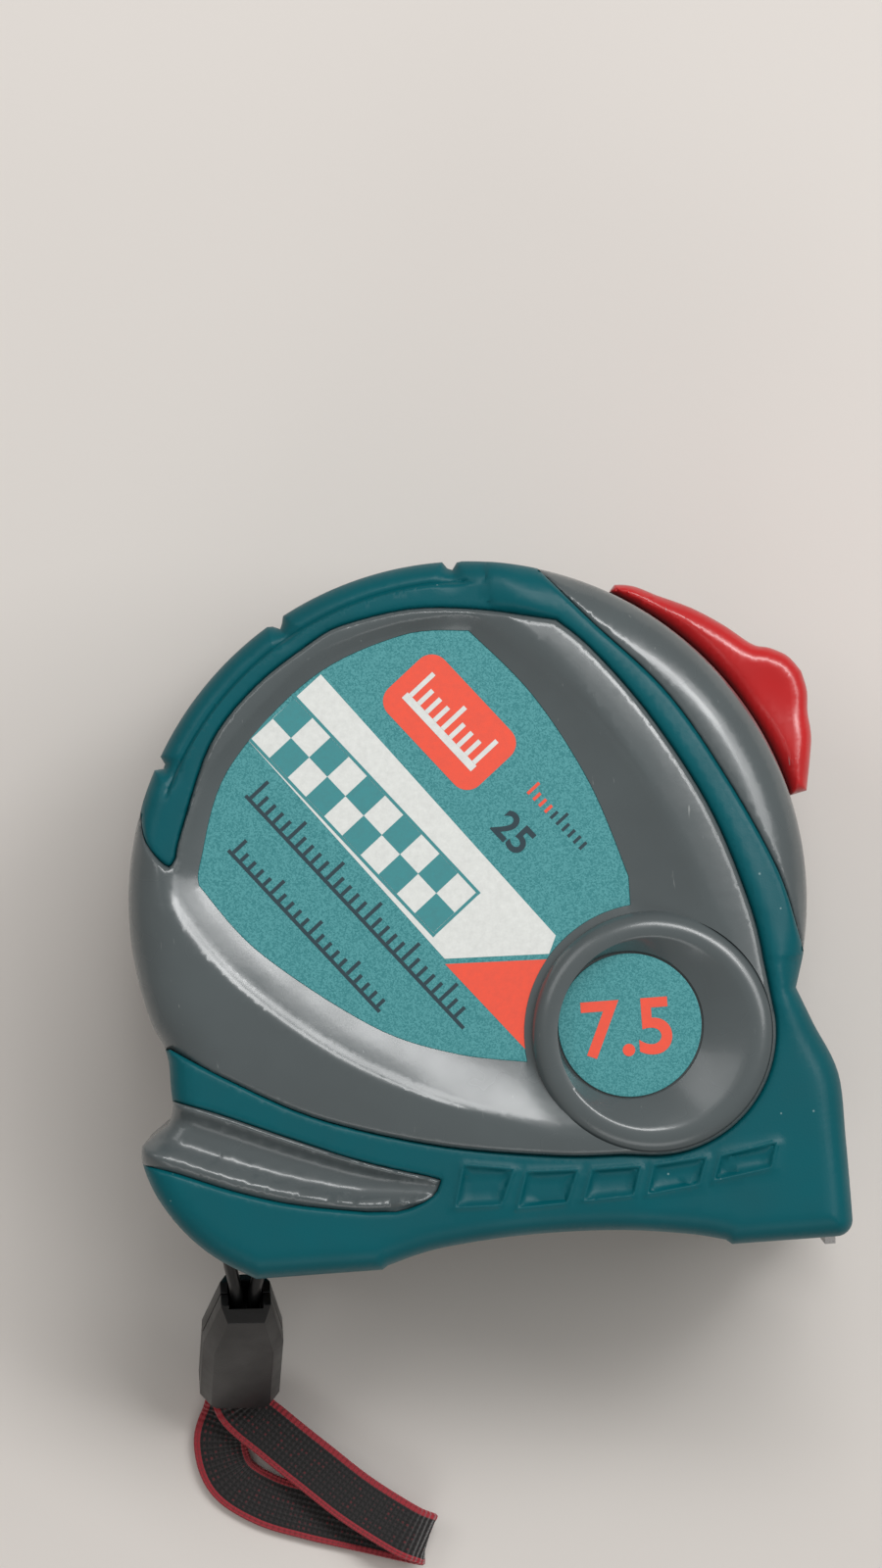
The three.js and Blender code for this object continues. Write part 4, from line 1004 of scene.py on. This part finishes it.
class TAPE_OT_stage(bpy.types.Operator):
    """Floor, soft studio light and camera"""

    bl_idname = "tape.stage"
    bl_label = "Stage"

    def execute(self, context):
        settings = context.scene.tape_stage
        height = settings.camera_height
        camera = bpy.data.cameras.new("camera")
        camera.sensor_width = SENSOR
        camera.sensor_fit = "AUTO"
        camera.lens = SENSOR * height / VIEW_HEIGHT
        camera.clip_start, camera.clip_end = 0.01, 10
        looker = bpy.data.objects.new("camera", camera)
        context.scene.collection.objects.link(looker)
        looker.location = CASE_MIDDLE + VIEW_CENTRE * MM + Vector((0, 0, height))
        looker.rotation_euler = (0, 0, -settings.roll)
        context.scene.camera = looker
        floor = self.board()
        # The brightest light is a long soft strip up and to the right, 31 degrees from overhead.
        self.lamp("key", 58, 31, 0.95, (0.62, 0.2), settings.key_power)
        self.lamp("side", 20, 40, 0.9, (0.5, 0.3), settings.fill_power)
        self.lamp("rear", 140, 42, 1.0, (0.5, 0.4), settings.fill_power * 0.6)
        self.lamp("low", 262, 52, 1.0, (0.7, 0.3), settings.fill_power * 0.5)
        self.sky(context)
        context.scene.view_settings.view_transform = "Standard"
        return {"FINISHED"}

    def board(self):
        """The floor, in a grid of squares."""
        mesh = bpy.data.meshes.new("floor")
        row = FLOOR_STEPS + 1
        line = np.linspace(-FLOOR_HALF, FLOOR_HALF, row)
        verts = [(x, y, 0) for y in line for x in line]
        faces = []
        for j in range(FLOOR_STEPS):
            for i in range(FLOOR_STEPS):
                a = j * row + i
                faces.append((a, a + 1, a + row + 1, a + row))
        mesh.from_pydata(verts, [], faces)
        obj = bpy.data.objects.new("floor", mesh)
        mesh.materials.append(MATERIALS["floor"])
        bpy.context.scene.collection.objects.link(obj)
        return obj

    def lamp(self, name, azimuth, from_overhead, distance, size, power):
        """A soft rectangular lamp aimed at the case; its long side runs round the case."""
        lamp = bpy.data.lights.new(name, "AREA")
        lamp.shape = "RECTANGLE"
        lamp.size, lamp.size_y = size
        lamp.energy = power
        turn, tilt = math.radians(azimuth), math.radians(from_overhead)
        away = Vector((math.sin(tilt) * math.cos(turn), math.sin(tilt) * math.sin(turn), math.cos(tilt)))
        obj = bpy.data.objects.new(name, lamp)
        obj.location = CASE_MIDDLE + away * distance
        obj.rotation_euler = away.to_track_quat("Z", "Y").to_euler()
        bpy.context.scene.collection.objects.link(obj)

    def sky(self, context):
        """An even pale surround that fills the shadows."""
        world = bpy.data.worlds.new("studio")
        world.use_nodes = True
        back = world.node_tree.nodes["Background"]
        back.inputs["Color"].default_value = linear("#e9e4df")
        back.inputs["Strength"].default_value = 0.36
        context.scene.world = world


# The strap's routes, in millimetres about the case's middle, as in the CAD source.
CORD_RADIUS = 0.75
LOOP = 2.15  # radius of the cord's loop round the pin
DIAGONAL = 0.71
CLASP_TOP = Vector((-29.0, -43.8, -4.5))
CLASP_END = Vector((-31.2, -56.2, FLOOR_Z + 4.6))
CLASP_ALONG = (CLASP_END - CLASP_TOP).normalized()
CLASP_ACROSS = (Vector((-1, 0, 0)) + CLASP_ALONG * CLASP_ALONG.x).normalized()
CLASP_OUT = CLASP_ACROSS.cross(CLASP_ALONG).normalized()
CLASP_LENGTH = (CLASP_END - CLASP_TOP).length


def at_clasp(across, along, out):
    """A point given across, along and out from the middle of the clasp's top end."""
    return tuple(CLASP_TOP + CLASP_ACROSS * across + CLASP_ALONG * along + CLASP_OUT * out)


CORD_ROUTE = [
    at_clasp(1.05, 4.4, 0),
    at_clasp(1.05, 0, 0),
    (PIN.x - LOOP, PIN.y - 2.2, -0.6),
    (PIN.x - LOOP, PIN.y, 0),
    (PIN.x - LOOP * DIAGONAL, PIN.y + LOOP * DIAGONAL, 0),
    (PIN.x, PIN.y + LOOP, 0),
    (PIN.x + LOOP * DIAGONAL, PIN.y + LOOP * DIAGONAL, 0),
    (PIN.x + LOOP, PIN.y, 0),
    (PIN.x + LOOP, PIN.y - 2.2, -0.6),
    at_clasp(-1.05, 0, 0),
    at_clasp(-1.05, 4.4, 0),
]
WEB_ROUTE = [
    at_clasp(0, CLASP_LENGTH - 3.4, -1.1),
    at_clasp(0, CLASP_LENGTH + 0.8, -1.1),
    (-32.6, -59.2, FLOOR_Z + 1.3),
    (-33.9, -62.6, FLOOR_Z + 1.0),
    (-32.9, -66.8, FLOOR_Z + 1.0),
    (-29.0, -69.8, FLOOR_Z + 1.0),
    (-23.8, -71.8, FLOOR_Z + 1.0),
    (-17.6, -73.7, FLOOR_Z + 1.0),
    (-12.6, -75.2, FLOOR_Z + 1.4),
    (-10.4, -75.6, FLOOR_Z + 3.2),
    (-12.8, -74.2, FLOOR_Z + 4.9),
    (-18.2, -70.3, FLOOR_Z + 4.2),
    (-23.0, -66.0, FLOOR_Z + 3.8),
    (-27.2, -62.1, FLOOR_Z + 3.7),
    at_clasp(-0.4, CLASP_LENGTH + 2, 1.1),
    at_clasp(0, CLASP_LENGTH - 3.4, 1.1),
]
STRAP_WIDTH = 6.0
STRAP_HALF_THICKNESS = 0.34
SELVEDGE_HALF_THICKNESS = 0.42
SELVEDGE = 0.5  # width of the thicker edge


class TAPE_OT_strap(bpy.types.Operator):
    """Wrist strap: cord loop, two-part clasp and woven webbing"""

    bl_idname = "tape.strap"
    bl_label = "Wrist strap"

    def execute(self, context):
        clasp = [self.clasp_half("clasp_upper", 1), self.clasp_half("clasp_lower", -1)]
        cord = self.cord()
        webbing, route, length = self.webbing()
        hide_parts("strap_clasp_upper")
        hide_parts("strap_clasp_lower")
        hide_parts("strap_cord")
        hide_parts("strap_webbing")
        return {"FINISHED"}

    def cord(self):
        """The doubled cord from the clasp, round the pin and back."""
        route, _ = curve_through(CORD_ROUTE, 90)
        section = circle((0, 0), CORD_RADIUS, 12)

        def sideways(tangent):
            """A direction across the cord that never lies along it."""
            return np.cross((0.1, 0.2, 1), tangent)

        obj = swept("strap_cord_loop", route, section, "strap", MATERIALS["black"], sideways)
        return obj

    def webbing(self):
        """A flat ribbon, thicker at its two selvedges, with its weave laid along it."""
        route, length = curve_through(WEB_ROUTE, 150)
        half = STRAP_WIDTH / 2
        upper = []
        for u in np.linspace(-half, half, 15):
            thicker = abs(u) > half - SELVEDGE
            upper.append((u, SELVEDGE_HALF_THICKNESS if thicker else STRAP_HALF_THICKNESS))
        lower = [(u, -v) for u, v in reversed(upper)]
        section = [(-half - 0.18, 0.0), *upper, (half + 0.18, 0.0), *lower]

        def level(tangent):
            """The level direction across the strap; where it stands upright, its way at the fold."""
            flat = np.array([tangent[1], -tangent[0], 0.0])
            return flat if np.linalg.norm(flat) > 0.45 else np.array([0.4, 0.92, 0.0])

        obj = swept("strap_webbing_loop", route, section, "strap", MATERIALS["webbing"], level)
        count = len(section)
        gone = np.linspace(0, length, len(route))
        layer = obj.data.uv_layers.new(name="weave")
        for face in obj.data.polygons:
            for corner in face.loop_indices:
                vertex = obj.data.loops[corner].vertex_index
                layer.data[corner].uv = (gone[vertex // count], section[vertex % count][0])
        return obj, route, length

    def clasp_half(self, name, side):
        """Half of the faceted clasp, split along its middle."""
        half, length = 4.7, CLASP_LENGTH
        outline = [
            (-2.9, 0),
            (2.9, 0),
            (half, 8.5),
            (half, length - 2),
            (half - 1, length),
            (1 - half, length),
            (-half, length - 2),
            (-half, 8.5),
        ]
        layers = [(0.0, 0.1), (0.0, 1.6), (-1.25, 3.3)]
        verts, faces = [], []
        count = len(outline)
        for inset, out in layers:
            for x, y in outline:
                scale = (half + inset) / half
                along = min(max(y, -inset), length + inset)
                verts.append(at_clasp(x * scale, along, side * out))
        for k in range(len(layers) - 1):
            for i in range(count):
                j = (i + 1) % count
                faces.append((k * count + i, k * count + j, (k + 1) * count + j, (k + 1) * count + i))
        faces.append(tuple(range(count)))
        faces.append(tuple(range(2 * count, 3 * count)))
        obj = new_object(name, verts, faces, "strap", MATERIALS["black"])
        face_outwards(obj)
        cutter = self.clasp_cutter(side)
        cut = obj.modifiers.new("slots", "BOOLEAN")
        cut.object = cutter
        cut.solver = "EXACT"
        bevel(obj, 0.3, 3, 25)
        apply_modifiers(obj)
        bpy.data.objects.remove(cutter)
        shade(obj, 30)
        return obj

    def clasp_cutter(self, side):
        """The cord's recess at the top and the webbing's slot at the end, as one cutting mesh."""
        verts, faces = [], []
        boxes = (
            (-2.0, 2.0, -1.0, 5.0, 1.9),
            (-STRAP_WIDTH / 2 - 0.45, STRAP_WIDTH / 2 + 0.45, CLASP_LENGTH - 4, CLASP_LENGTH + 1, 2.3),
        )
        for x0, x1, y0, y1, out in boxes:
            start = len(verts)
            for z in (-1.0, out):
                verts += [at_clasp(x, y, side * z) for x, y in ((x0, y0), (x1, y0), (x1, y1), (x0, y1))]
            for quad in ((0, 1, 2, 3), (4, 5, 6, 7), (0, 1, 5, 4), (1, 2, 6, 5), (2, 3, 7, 6), (3, 0, 4, 7)):
                faces.append(tuple(start + i for i in quad))
        obj = new_object("cutter", verts, faces, "strap", None)
        face_outwards(obj)
        return obj


class TAPE_OT_case(bpy.types.Operator):
    """Both sides of the case: rubber jacket, glossy panel, front strip, scoop and round rim"""

    bl_idname = "tape.case"
    bl_label = "Case"

    def execute(self, context):
        data = face_mesh(context.scene.tape_case.mesh_step)
        for side, word in ((1, "upper"), (-1, "lower")):
            jacket = region_piece(f"jacket_{word}_skin", data, ["jacket"], side, MATERIALS["teal"])
            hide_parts(f"jacket_{word}")
            kinds = ["panel"] if side > 0 else ["panel", "label"]
            panel = region_piece(f"panel_{word}", data, kinds, side, MATERIALS["grey"])
            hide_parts(f"shell_{word}")
            front = region_piece(f"front_{word}", data, ["front"], side, MATERIALS["grey"])
            scoop = region_piece(f"scoop_{word}", data, ["scoop"], side, MATERIALS["grey"])
            ring = self.rim(word, side)
        return {"FINISHED"}

    def rim(self, word, side):
        """The round rim, and the funnel down to its disc, which is off the rim's centre."""
        r = RING_RADIUS - 0.05
        roll = (
            (0.0, WALL_TOP),
            (0.0, PANEL_TOP - 1.0),
            (0.08, PANEL_TOP - 0.5),
            (0.3, PANEL_TOP),
            (0.65, PANEL_TOP + 0.38),
            (1.1, PANEL_TOP + 0.67),
            (1.6, PANEL_TOP + 0.84),
            (2.1, RIM_TOP),
            (2.6, PANEL_TOP + 0.85),
        )
        rings = [(RING_CENTRE, r - inset, z) for inset, z in roll]
        start_radius, end_radius = r - 2.9, DISC_RADIUS + 0.25
        for f in (0.0, 0.12, 0.25, 0.4, 0.55, 0.7, 0.85, 0.96, 1.0):
            centre = tuple(a + (b - a) * f for a, b in zip(RING_CENTRE, DISC_CENTRE))
            height = PANEL_TOP + 0.78 + (LABEL_TOP + 0.1 - PANEL_TOP - 0.78) * (0.75 * f + 0.25 * f * f)
            rings.append((centre, start_radius + (end_radius - start_radius) * f, height))
        rings.append((DISC_CENTRE, end_radius, LABEL_TOP - 0.35))
        rings.append((DISC_CENTRE, 0.5, LABEL_TOP - 0.35))
        verts, faces = [], []
        segments = 144
        for centre, radius, z in rings:
            verts += [(x, y, side * z) for x, y in circle(centre, radius, segments)]
        for k in range(len(rings) - 1):
            for i in range(segments):
                j = (i + 1) % segments
                inner, outer = k * segments, (k + 1) * segments
                faces.append((inner + i, inner + j, outer + j, outer + i))
        faces.append(tuple(range((len(rings) - 1) * segments, len(rings) * segments)))
        faces.append(tuple(range(segments)))
        obj = new_object(f"rim_{word}", verts, faces, "case", MATERIALS["grey"])
        face_outwards(obj)
        shade(obj, 50)
        return obj


DOWN_BAND = Vector((0.63, -0.78)).normalized()  # the label's art runs this way
ACROSS_BAND = Vector((0.78, 0.63)).normalized()


def on_band(origin, along, across):
    """A point given along and across the label's slanting rows."""
    p = Vector(origin) + DOWN_BAND * along + ACROSS_BAND * across
    return (p.x, p.y)


def boxes(name, corners, body, material, edge=0.0):
    """Several boxes, each as (low corner, high corner), in one piece."""
    verts, faces = [], []
    for low, high in corners:
        start = len(verts)
        for z in (low[2], high[2]):
            verts += [(low[0], low[1], z), (high[0], low[1], z), (high[0], high[1], z), (low[0], high[1], z)]
        for quad in ((3, 2, 1, 0), (4, 5, 6, 7), (0, 1, 5, 4), (1, 2, 6, 5), (2, 3, 7, 6), (3, 0, 4, 7)):
            faces.append(tuple(start + i for i in quad))
    obj = new_object(name, verts, faces, body, material)
    if edge:
        bevel(obj, edge, 2)
    shade(obj)
    return obj


def clipped(outline, low_x, low_y, high_x, high_y):
    """The part of a closed outline that lies in a box, cut one side at a time."""
    kept = [tuple(p) for p in outline]
    for axis, limit, sign in ((0, low_x, 1), (1, low_y, 1), (0, high_x, -1), (1, high_y, -1)):
        out = []
        for start, end in zip(kept, [*kept[1:], kept[0]]):
            a, b = (start[axis] - limit) * sign, (end[axis] - limit) * sign
            if a >= 0:
                out.append(start)
            if (a < 0) != (b < 0):
                t = a / (a - b)
                out.append((start[0] + (end[0] - start[0]) * t, start[1] + (end[1] - start[1]) * t))
        kept = out
    return kept


def shrunk(outline, distance):
    """The closed outline moved inwards; fine where it has no sharp corners."""
    return [tuple(p) for p in along_normals(even(outline, 1.0), [distance])]


class TAPE_OT_openings(bpy.types.Operator):
    """Linings of the mouth, the strap's notch and the screw bores"""

    bl_idname = "tape.openings"
    bl_label = "Openings"

    def execute(self, context):
        inner = shrunk(SILHOUETTE, 0.35)
        x0, y0, _, y1 = HOOK_RECESS
        half = OPENINGS[0][1]
        cheek = clipped(inner, x0 - 1.6, y0, 60, y1 + 0.9)
        for word, low, high in (("upper", half, half + 1.0), ("lower", -half - 1.0, -half)):
            slab(f"mouth_cheek_{word}", cheek, low, high, "case", MATERIALS["teal"])
        roof = clipped(inner, x0 - 1.6, y1, 60, y1 + 0.9)
        slab("mouth_roof", roof, -half - 0.5, half + 0.5, "case", MATERIALS["teal"])
        channel_low, channel_high = levels("mouth_guide")[0].y, -30.2
        back = [
            ((x0 - 1.6, -40.3, -half - 0.5), (x0, channel_low, half + 0.5)),
            ((x0 - 1.6, channel_high, -half - 0.5), (x0, y1 + 0.5, half + 0.5)),
        ]
        boxes("mouth_back", back, "case", MATERIALS["grey"], 0.25)
        # the channel behind the mouth; its top starts in front of the brake pad's travel
        channel = [
            ((26, channel_high, -half - 0.5), (x0 - 1.6, channel_high + 1.2, half + 0.5)),
            ((20, channel_low - 1.2, -half - 0.5), (x0 - 1.6, channel_low, half + 0.5)),
            ((20, channel_low - 1.2, half), (x0 - 1.6, channel_high + 1.2, half + 1)),
            ((20, channel_low - 1.2, -half - 1), (x0 - 1.6, channel_high + 1.2, -half)),
        ]
        boxes("mouth_channel", channel, "case", MATERIALS["grey"])
        x0, y0, x1, y1 = STRAP_NOTCH
        half = OPENINGS[1][1]
        side_plate = clipped(inner, x0 - 1, y0, x1 + 1, y1 + 2.5)
        for word, low, high in (("upper", half, half + 0.8), ("lower", -half - 0.8, -half)):
            slab(f"notch_side_{word}", side_plate, low, high, "case", MATERIALS["grey"])
        floor = clipped(inner, x0 - 1, y1 + 1.4, x1 + 1, y1 + 2.4)
        slab("notch_floor", floor, -half - 0.5, half + 0.5, "case", MATERIALS["grey"])
        wall = clipped(inner, x1, y0, x1 + 0.8, y1 + 2.4)
        slab("notch_wall", wall, -half - 0.5, half + 0.5, "case", MATERIALS["grey"])
        seat = -levels("case_screw_1")[0].z
        top = -WALL_TOP - 0.6
        floor_low, floor_high = 2.2 - seat, 2.9 - seat
        inner_radius, outer_radius, hole = BORE_RADIUS - 0.01, 3.3, 1.0
        profile = [
            (inner_radius, top),
            (inner_radius, floor_low),
            (hole, floor_low),
            (hole, floor_high),
            (outer_radius, floor_high),
            (outer_radius, top),
        ]
        for i, at in enumerate(SCREWS):
            bore = turned(f"screw_bore_{i + 1}", at, profile, "case", MATERIALS["grey"], 40)
        return {"FINISHED"}


INK_LIFT = 0.03  # of the first print above the film
OVERPRINT_LIFT = 0.06  # of what is printed over it


class TAPE_OT_labels(bpy.types.Operator):
    """Pearl film labels and their printed art"""

    bl_idname = "tape.labels"
    bl_label = "Labels"

    def execute(self, context):
        step = context.scene.tape_print.tick_step
        film = slab("label_film", LABEL, LABEL_TOP - 0.3, LABEL_TOP, "case", MATERIALS["film"], 0.06, 2)
        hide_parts("label_upper")
        disc = circle(DISC_CENTRE, DISC_RADIUS, 90)
        foot, top = LABEL_TOP - 0.3, LABEL_TOP + 0.02
        upper = slab("disc_film_upper", disc, foot, top, "case", MATERIALS["film"], 0.06, 2)
        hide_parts("disc_label_upper")
        lower = slab("disc_film_lower", disc, -top, -foot, "case", MATERIALS["film"], 0.06, 2)
        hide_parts("disc_label_lower")
        self.print_shapes(step)
        self.print_numbers()
        return {"FINISHED"}

    def flat_print(self, name, outlines, material, lift=INK_LIFT):
        """Flat printed shapes just above the film."""
        verts, faces = [], []
        for outline in outlines:
            start = len(verts)
            verts += [(x, y, LABEL_TOP + lift) for x, y in outline]
            faces.append(tuple(range(start, start + len(outline))))
        obj = new_object(name, verts, faces, "case", material)
        made = bmesh.new()
        made.from_mesh(obj.data)
        bmesh.ops.triangulate(made, faces=made.faces)
        for face in made.faces:
            if face.normal.z < 0:
                face.normal_flip()
        made.to_mesh(obj.data)
        made.free()

    def print_shapes(self, step):
        """The band, the badge and the ticked scales; sizes are in millimetres on the film."""
        white = [[(-14.7, 26.75), (-23.4, 19.9), (-3.1, -6.3), (8.7, -6.6), (9.6, -4.6)]]
        self.flat_print("print_band", white, MATERIALS["white_ink"])
        self.flat_print("print_corner", [[(-3.1, -6.9), (8.4, -7.2), (5.6, -17.6)]], MATERIALS["red_ink"])
        badge_at = (-0.6, 20.3)
        badge = self.round_box(badge_at, 15, 8.8, 2.0)
        self.flat_print("print_badge", [badge], MATERIALS["red_ink"])
        # a plain scale in white on the badge
        comb = [self.bar_at(badge_at, 0, -1.6, 11.4, 0.9)]
        for i in range(9):
            tall = 3.6 if i % 4 == 0 else 2.2
            comb.append(self.bar_at(badge_at, -5.2 + i * 1.3, -1.14 + tall / 2, 0.55, tall))
        self.flat_print("print_badge_scale", comb, MATERIALS["white_ink"], OVERPRINT_LIFT)
        # a chequered scale bar in two rows along the band
        blocks = []
        middle = (-11.6, 11.2)
        for i in range(11):
            row = 1.65 if i % 2 else -1.65
            blocks.append(self.bar_at(middle, -15.6 + i * 3.0, row, 3.0, 3.3))
        for row in (-3.5, 3.5):
            blocks.append(self.bar_at(middle, -0.6, row, 33.8, 0.35))
        for end in (-17.3, 16.1):
            blocks.append(self.bar_at(middle, end, 0, 0.35, 6.6))
        self.flat_print("print_band_blocks", blocks, MATERIALS["teal_ink"], OVERPRINT_LIFT)
        # two long scales under the band and one short one above it
        ticks = []
        for origin, length, tall in (((-23.6, 13.4), 36, 2.7), ((-26.0, 7.4), 25, 2.0)):
            count = int(length / step)
            for i in range(count):
                high = tall if i % 5 == 0 else tall * 0.55
                ticks.append(self.bar_at(origin, i * step, high / 2, 0.42, high))
            ticks.append(self.bar_at(origin, length / 2 - 0.6, -0.24, length, 0.42))
        self.flat_print("print_scales", ticks, MATERIALS["dark_ink"])
        small = []
        for i in range(10):
            high = 1.8 if i % 5 == 0 else 1.1
            small.append(self.bar_at((7.6, 11.6), i * 0.95, high / 2, 0.36, high))
        self.flat_print("print_small_scale", small[4:], MATERIALS["dark_ink"])
        self.flat_print("print_small_scale_start", small[:4], MATERIALS["red_ink"])

    def bar_at(self, origin, along, across, long, wide):
        """A bar of the label's slanting art."""
        corners = ((-long / 2, -wide / 2), (long / 2, -wide / 2), (long / 2, wide / 2), (-long / 2, wide / 2))
        return [on_band(origin, along + u, across + v) for u, v in corners]

    def round_box(self, origin, long, wide, radius):
        """A box of the label's slanting art with round corners."""
        out = []
        for u, v, start in ((1, 1, 0), (-1, 1, 90), (-1, -1, 180), (1, -1, 270)):
            centre = (u * (long / 2 - radius), v * (wide / 2 - radius))
            out += [on_band(origin, x, y) for x, y in arc(centre, radius, start, start + 90, 8)]
        return out

    def number(self, name, text, place, size, turn, material):
        """A printed number as flat mesh."""
        curve = bpy.data.curves.new(name, "FONT")
        curve.body = text
        curve.size = size * MM
        curve.offset = 0.02 * size * MM
        curve.align_x, curve.align_y = "CENTER", "CENTER"
        source = bpy.data.objects.new(name + "_source", curve)
        bpy.context.scene.collection.objects.link(source)
        bpy.context.view_layer.update()
        graph = bpy.context.evaluated_depsgraph_get()
        mesh = bpy.data.meshes.new_from_object(source.evaluated_get(graph))
        bpy.data.objects.remove(source)
        spot = CASE_MIDDLE + Vector((place[0], place[1], LABEL_TOP + OVERPRINT_LIFT)) * MM
        mesh.transform(Matrix.Translation(spot) @ Matrix.Rotation(turn, 4, "Z"))
        mesh.materials.clear()
        mesh.materials.append(material)
        obj = bpy.data.objects.new(name, mesh)
        bpy.context.scene.collection.objects.link(obj)
        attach(obj, "case")

    def print_numbers(self):
        """The blade's width in millimetres and its length in metres."""
        slant = math.atan2(DOWN_BAND.y, DOWN_BAND.x)
        self.number("print_width", "25", (5.6, 7.2), 4.6, slant, MATERIALS["dark_ink"])
        middle = (DISC_CENTRE[0] - 0.3, DISC_CENTRE[1] - 0.6)
        self.number("print_length", "7.5", middle, 8.8, 0, MATERIALS["red_ink"])


BUTTON_HALF = 9.0
STEM_HALF = 4.0


class TAPE_OT_lock(bpy.types.Operator):
    """Red lock button"""

    bl_idname = "tape.lock"
    bl_label = "Lock button"

    def execute(self, context):
        outline = [
            *smooth([(39.6, 9.6), (40.3, 13.5), (40.6, 16), (40.4, 18.6), (40.5, 21), (40.0, 23.3)], 24),
            *smooth(
                [
                    (40.0, 23.3), (38.6, 25.1), (36.6, 26.2), (34.6, 26.8),
                    (31.5, 29.2), (28, 31.4), (24, 33.2),
                ],
                36,
            )[1:],
            *smooth([(24, 33.2), (22, 34.2), (20.6, 34.6), (19.4, 34.7)], 12)[1:],
            *arc((0, 0), BODY_RADIUS + 0.35, 61, 13.7, 60),
        ]
        verts, faces = pillow(outline, BUTTON_HALF, 2.2, self.dish)
        obj = new_object("lock_button_cap", verts, faces, "lock", MATERIALS["red"])
        face_outwards(obj)
        shade(obj, 60)
        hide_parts("lock_button")
        sector = [*arc((0, 0), BODY_RADIUS + 0.8, 30, 50, 12), *arc((0, 0), BODY_RADIUS - 2.6, 50, 30, 12)]
        stem = slab("lock_stem", sector, -STEM_HALF, STEM_HALF, "lock", MATERIALS["red"], 0.3)
        return {"FINISHED"}

    def dish(self, points):
        """The button's side is dished a little in its middle."""
        from_middle = np.hypot(points[:, 0] - 35.8, points[:, 1] - 20.5)
        return 0.9 * np.exp(-((from_middle / 4.5) ** 2))


def pillow(outline, half, radius, dish):
    """A closed solid of an outline, with both its faces rounded to the edge."""
    edge = even(outline, 0.5)
    loose = [along_normals(edge, [s * d for d in ring_offsets(radius) for s in (1, -1)])]
    low, high = edge.min(0), edge.max(0)
    grid = np.stack(np.meshgrid(np.arange(low[0], high[0], 0.7), np.arange(low[1], high[1], 0.7)), axis=2)
    loose.append(grid.reshape(-1, 2))
    points = np.vstack(loose)
    points = points[inside(points, edge)]
    points = points[reach(points, edge) > 0.03]
    verts = [Vector(p) for p in points]
    start = len(verts)
    verts += [Vector(p) for p in edge]
    edges = [(start + i, start + (i + 1) % len(edge)) for i in range(len(edge))]
    made = delaunay_2d_cdt(verts, edges, [], 0, 1e-5)
    flat = np.array([tuple(v) for v in made[0]])
    triangles = np.array([f for f in made[2] if len(f) == 3])
    triangles = triangles[inside(flat[triangles].mean(1), edge)]
    used, index = np.unique(triangles, return_inverse=True)
    flat, triangles = flat[used], index.reshape(-1, 3)
    height = half - rounded(reach(flat, edge), radius) - dish(flat)
    count = len(flat)
    out = [(x, y, z) for (x, y), z in zip(flat, height)] + [(x, y, -z) for (x, y), z in zip(flat, height)]
    faces = [tuple(t) for t in triangles] + [tuple(count + i for i in t[::-1]) for t in triangles]
    for a, b in outer_edges(triangles):
        faces.append((b, a, count + a, count + b))
    return out, faces


class TAPE_OT_inner_parts(bpy.types.Operator):
    """Finishes of the pieces kept from the CAD model"""

    bl_idname = "tape.inner_parts"
    bl_label = "Kept CAD pieces"

    def execute(self, context):
        finishes = {
            "centre_post": "steel",
            "reel_drum": "acetal",
            "reel_cover": "acetal",
            "blade_coil": "blade",
            "power_spring": "spring",
            "blade_strip": "blade",
            "end_hook": "steel",
            "hook_rivet_1": "steel",
            "hook_rivet_2": "steel",
            "mouth_guide": "black",
            "lock_arm": "black",
            "brake_pad": "brake",
            "belt_clip": "steel",
            "clip_screw": "steel",
            "strap_pin": "steel",
            **{f"case_screw_{i + 1}": "dark_steel" for i in range(len(SCREWS))},
        }
        for node, finish in finishes.items():
            obj = FRAME["nodes"][node]
            obj.data.materials.clear()
            obj.data.materials.append(MATERIALS[finish])
            if node in ("end_hook", "belt_clip", "mouth_guide", "brake_pad", "lock_arm"):
                bevel(obj, 0.18, 2)
        return {"FINISHED"}


class TAPE_PT_panel(bpy.types.Panel):
    """Lists the pieces and their settings"""

    bl_idname = "TAPE_PT_panel"
    bl_label = "Tape measure"
    bl_space_type = "VIEW_3D"
    bl_region_type = "UI"
    bl_category = "Tape measure"

    def draw(self, context):
        layout = self.layout
        scene = context.scene
        for group in (scene.tape_finish, scene.tape_case, scene.tape_print, scene.tape_stage):
            box = layout.box()
            for key in group.__annotations__:
                box.prop(group, key)
        for operator in OPERATORS:
            layout.operator(operator.bl_idname)


OPERATORS = (
    TAPE_OT_finishes,
    TAPE_OT_stage,
    TAPE_OT_strap,
    TAPE_OT_case,
    TAPE_OT_openings,
    TAPE_OT_labels,
    TAPE_OT_lock,
    TAPE_OT_inner_parts,
)
GROUPS = {
    "tape_finish": FinishSettings,
    "tape_case": CaseSettings,
    "tape_print": PrintSettings,
    "tape_stage": StageSettings,
}


def register():
    for group in GROUPS.values():
        bpy.utils.register_class(group)
    for operator in OPERATORS:
        bpy.utils.register_class(operator)
    bpy.utils.register_class(TAPE_PT_panel)
    for name, group in GROUPS.items():
        setattr(bpy.types.Scene, name, PointerProperty(type=group))


def unregister():
    for name in GROUPS:
        delattr(bpy.types.Scene, name)
    bpy.utils.unregister_class(TAPE_PT_panel)
    for operator in reversed(OPERATORS):
        bpy.utils.unregister_class(operator)
    for group in GROUPS.values():
        bpy.utils.unregister_class(group)


def main():
    register()
    for operator in OPERATORS:
        name = operator.bl_idname.split(".")[1]
        getattr(bpy.ops.tape, name)()
    bpy.context.view_layer.update()


if __name__ == "__main__":
    main()
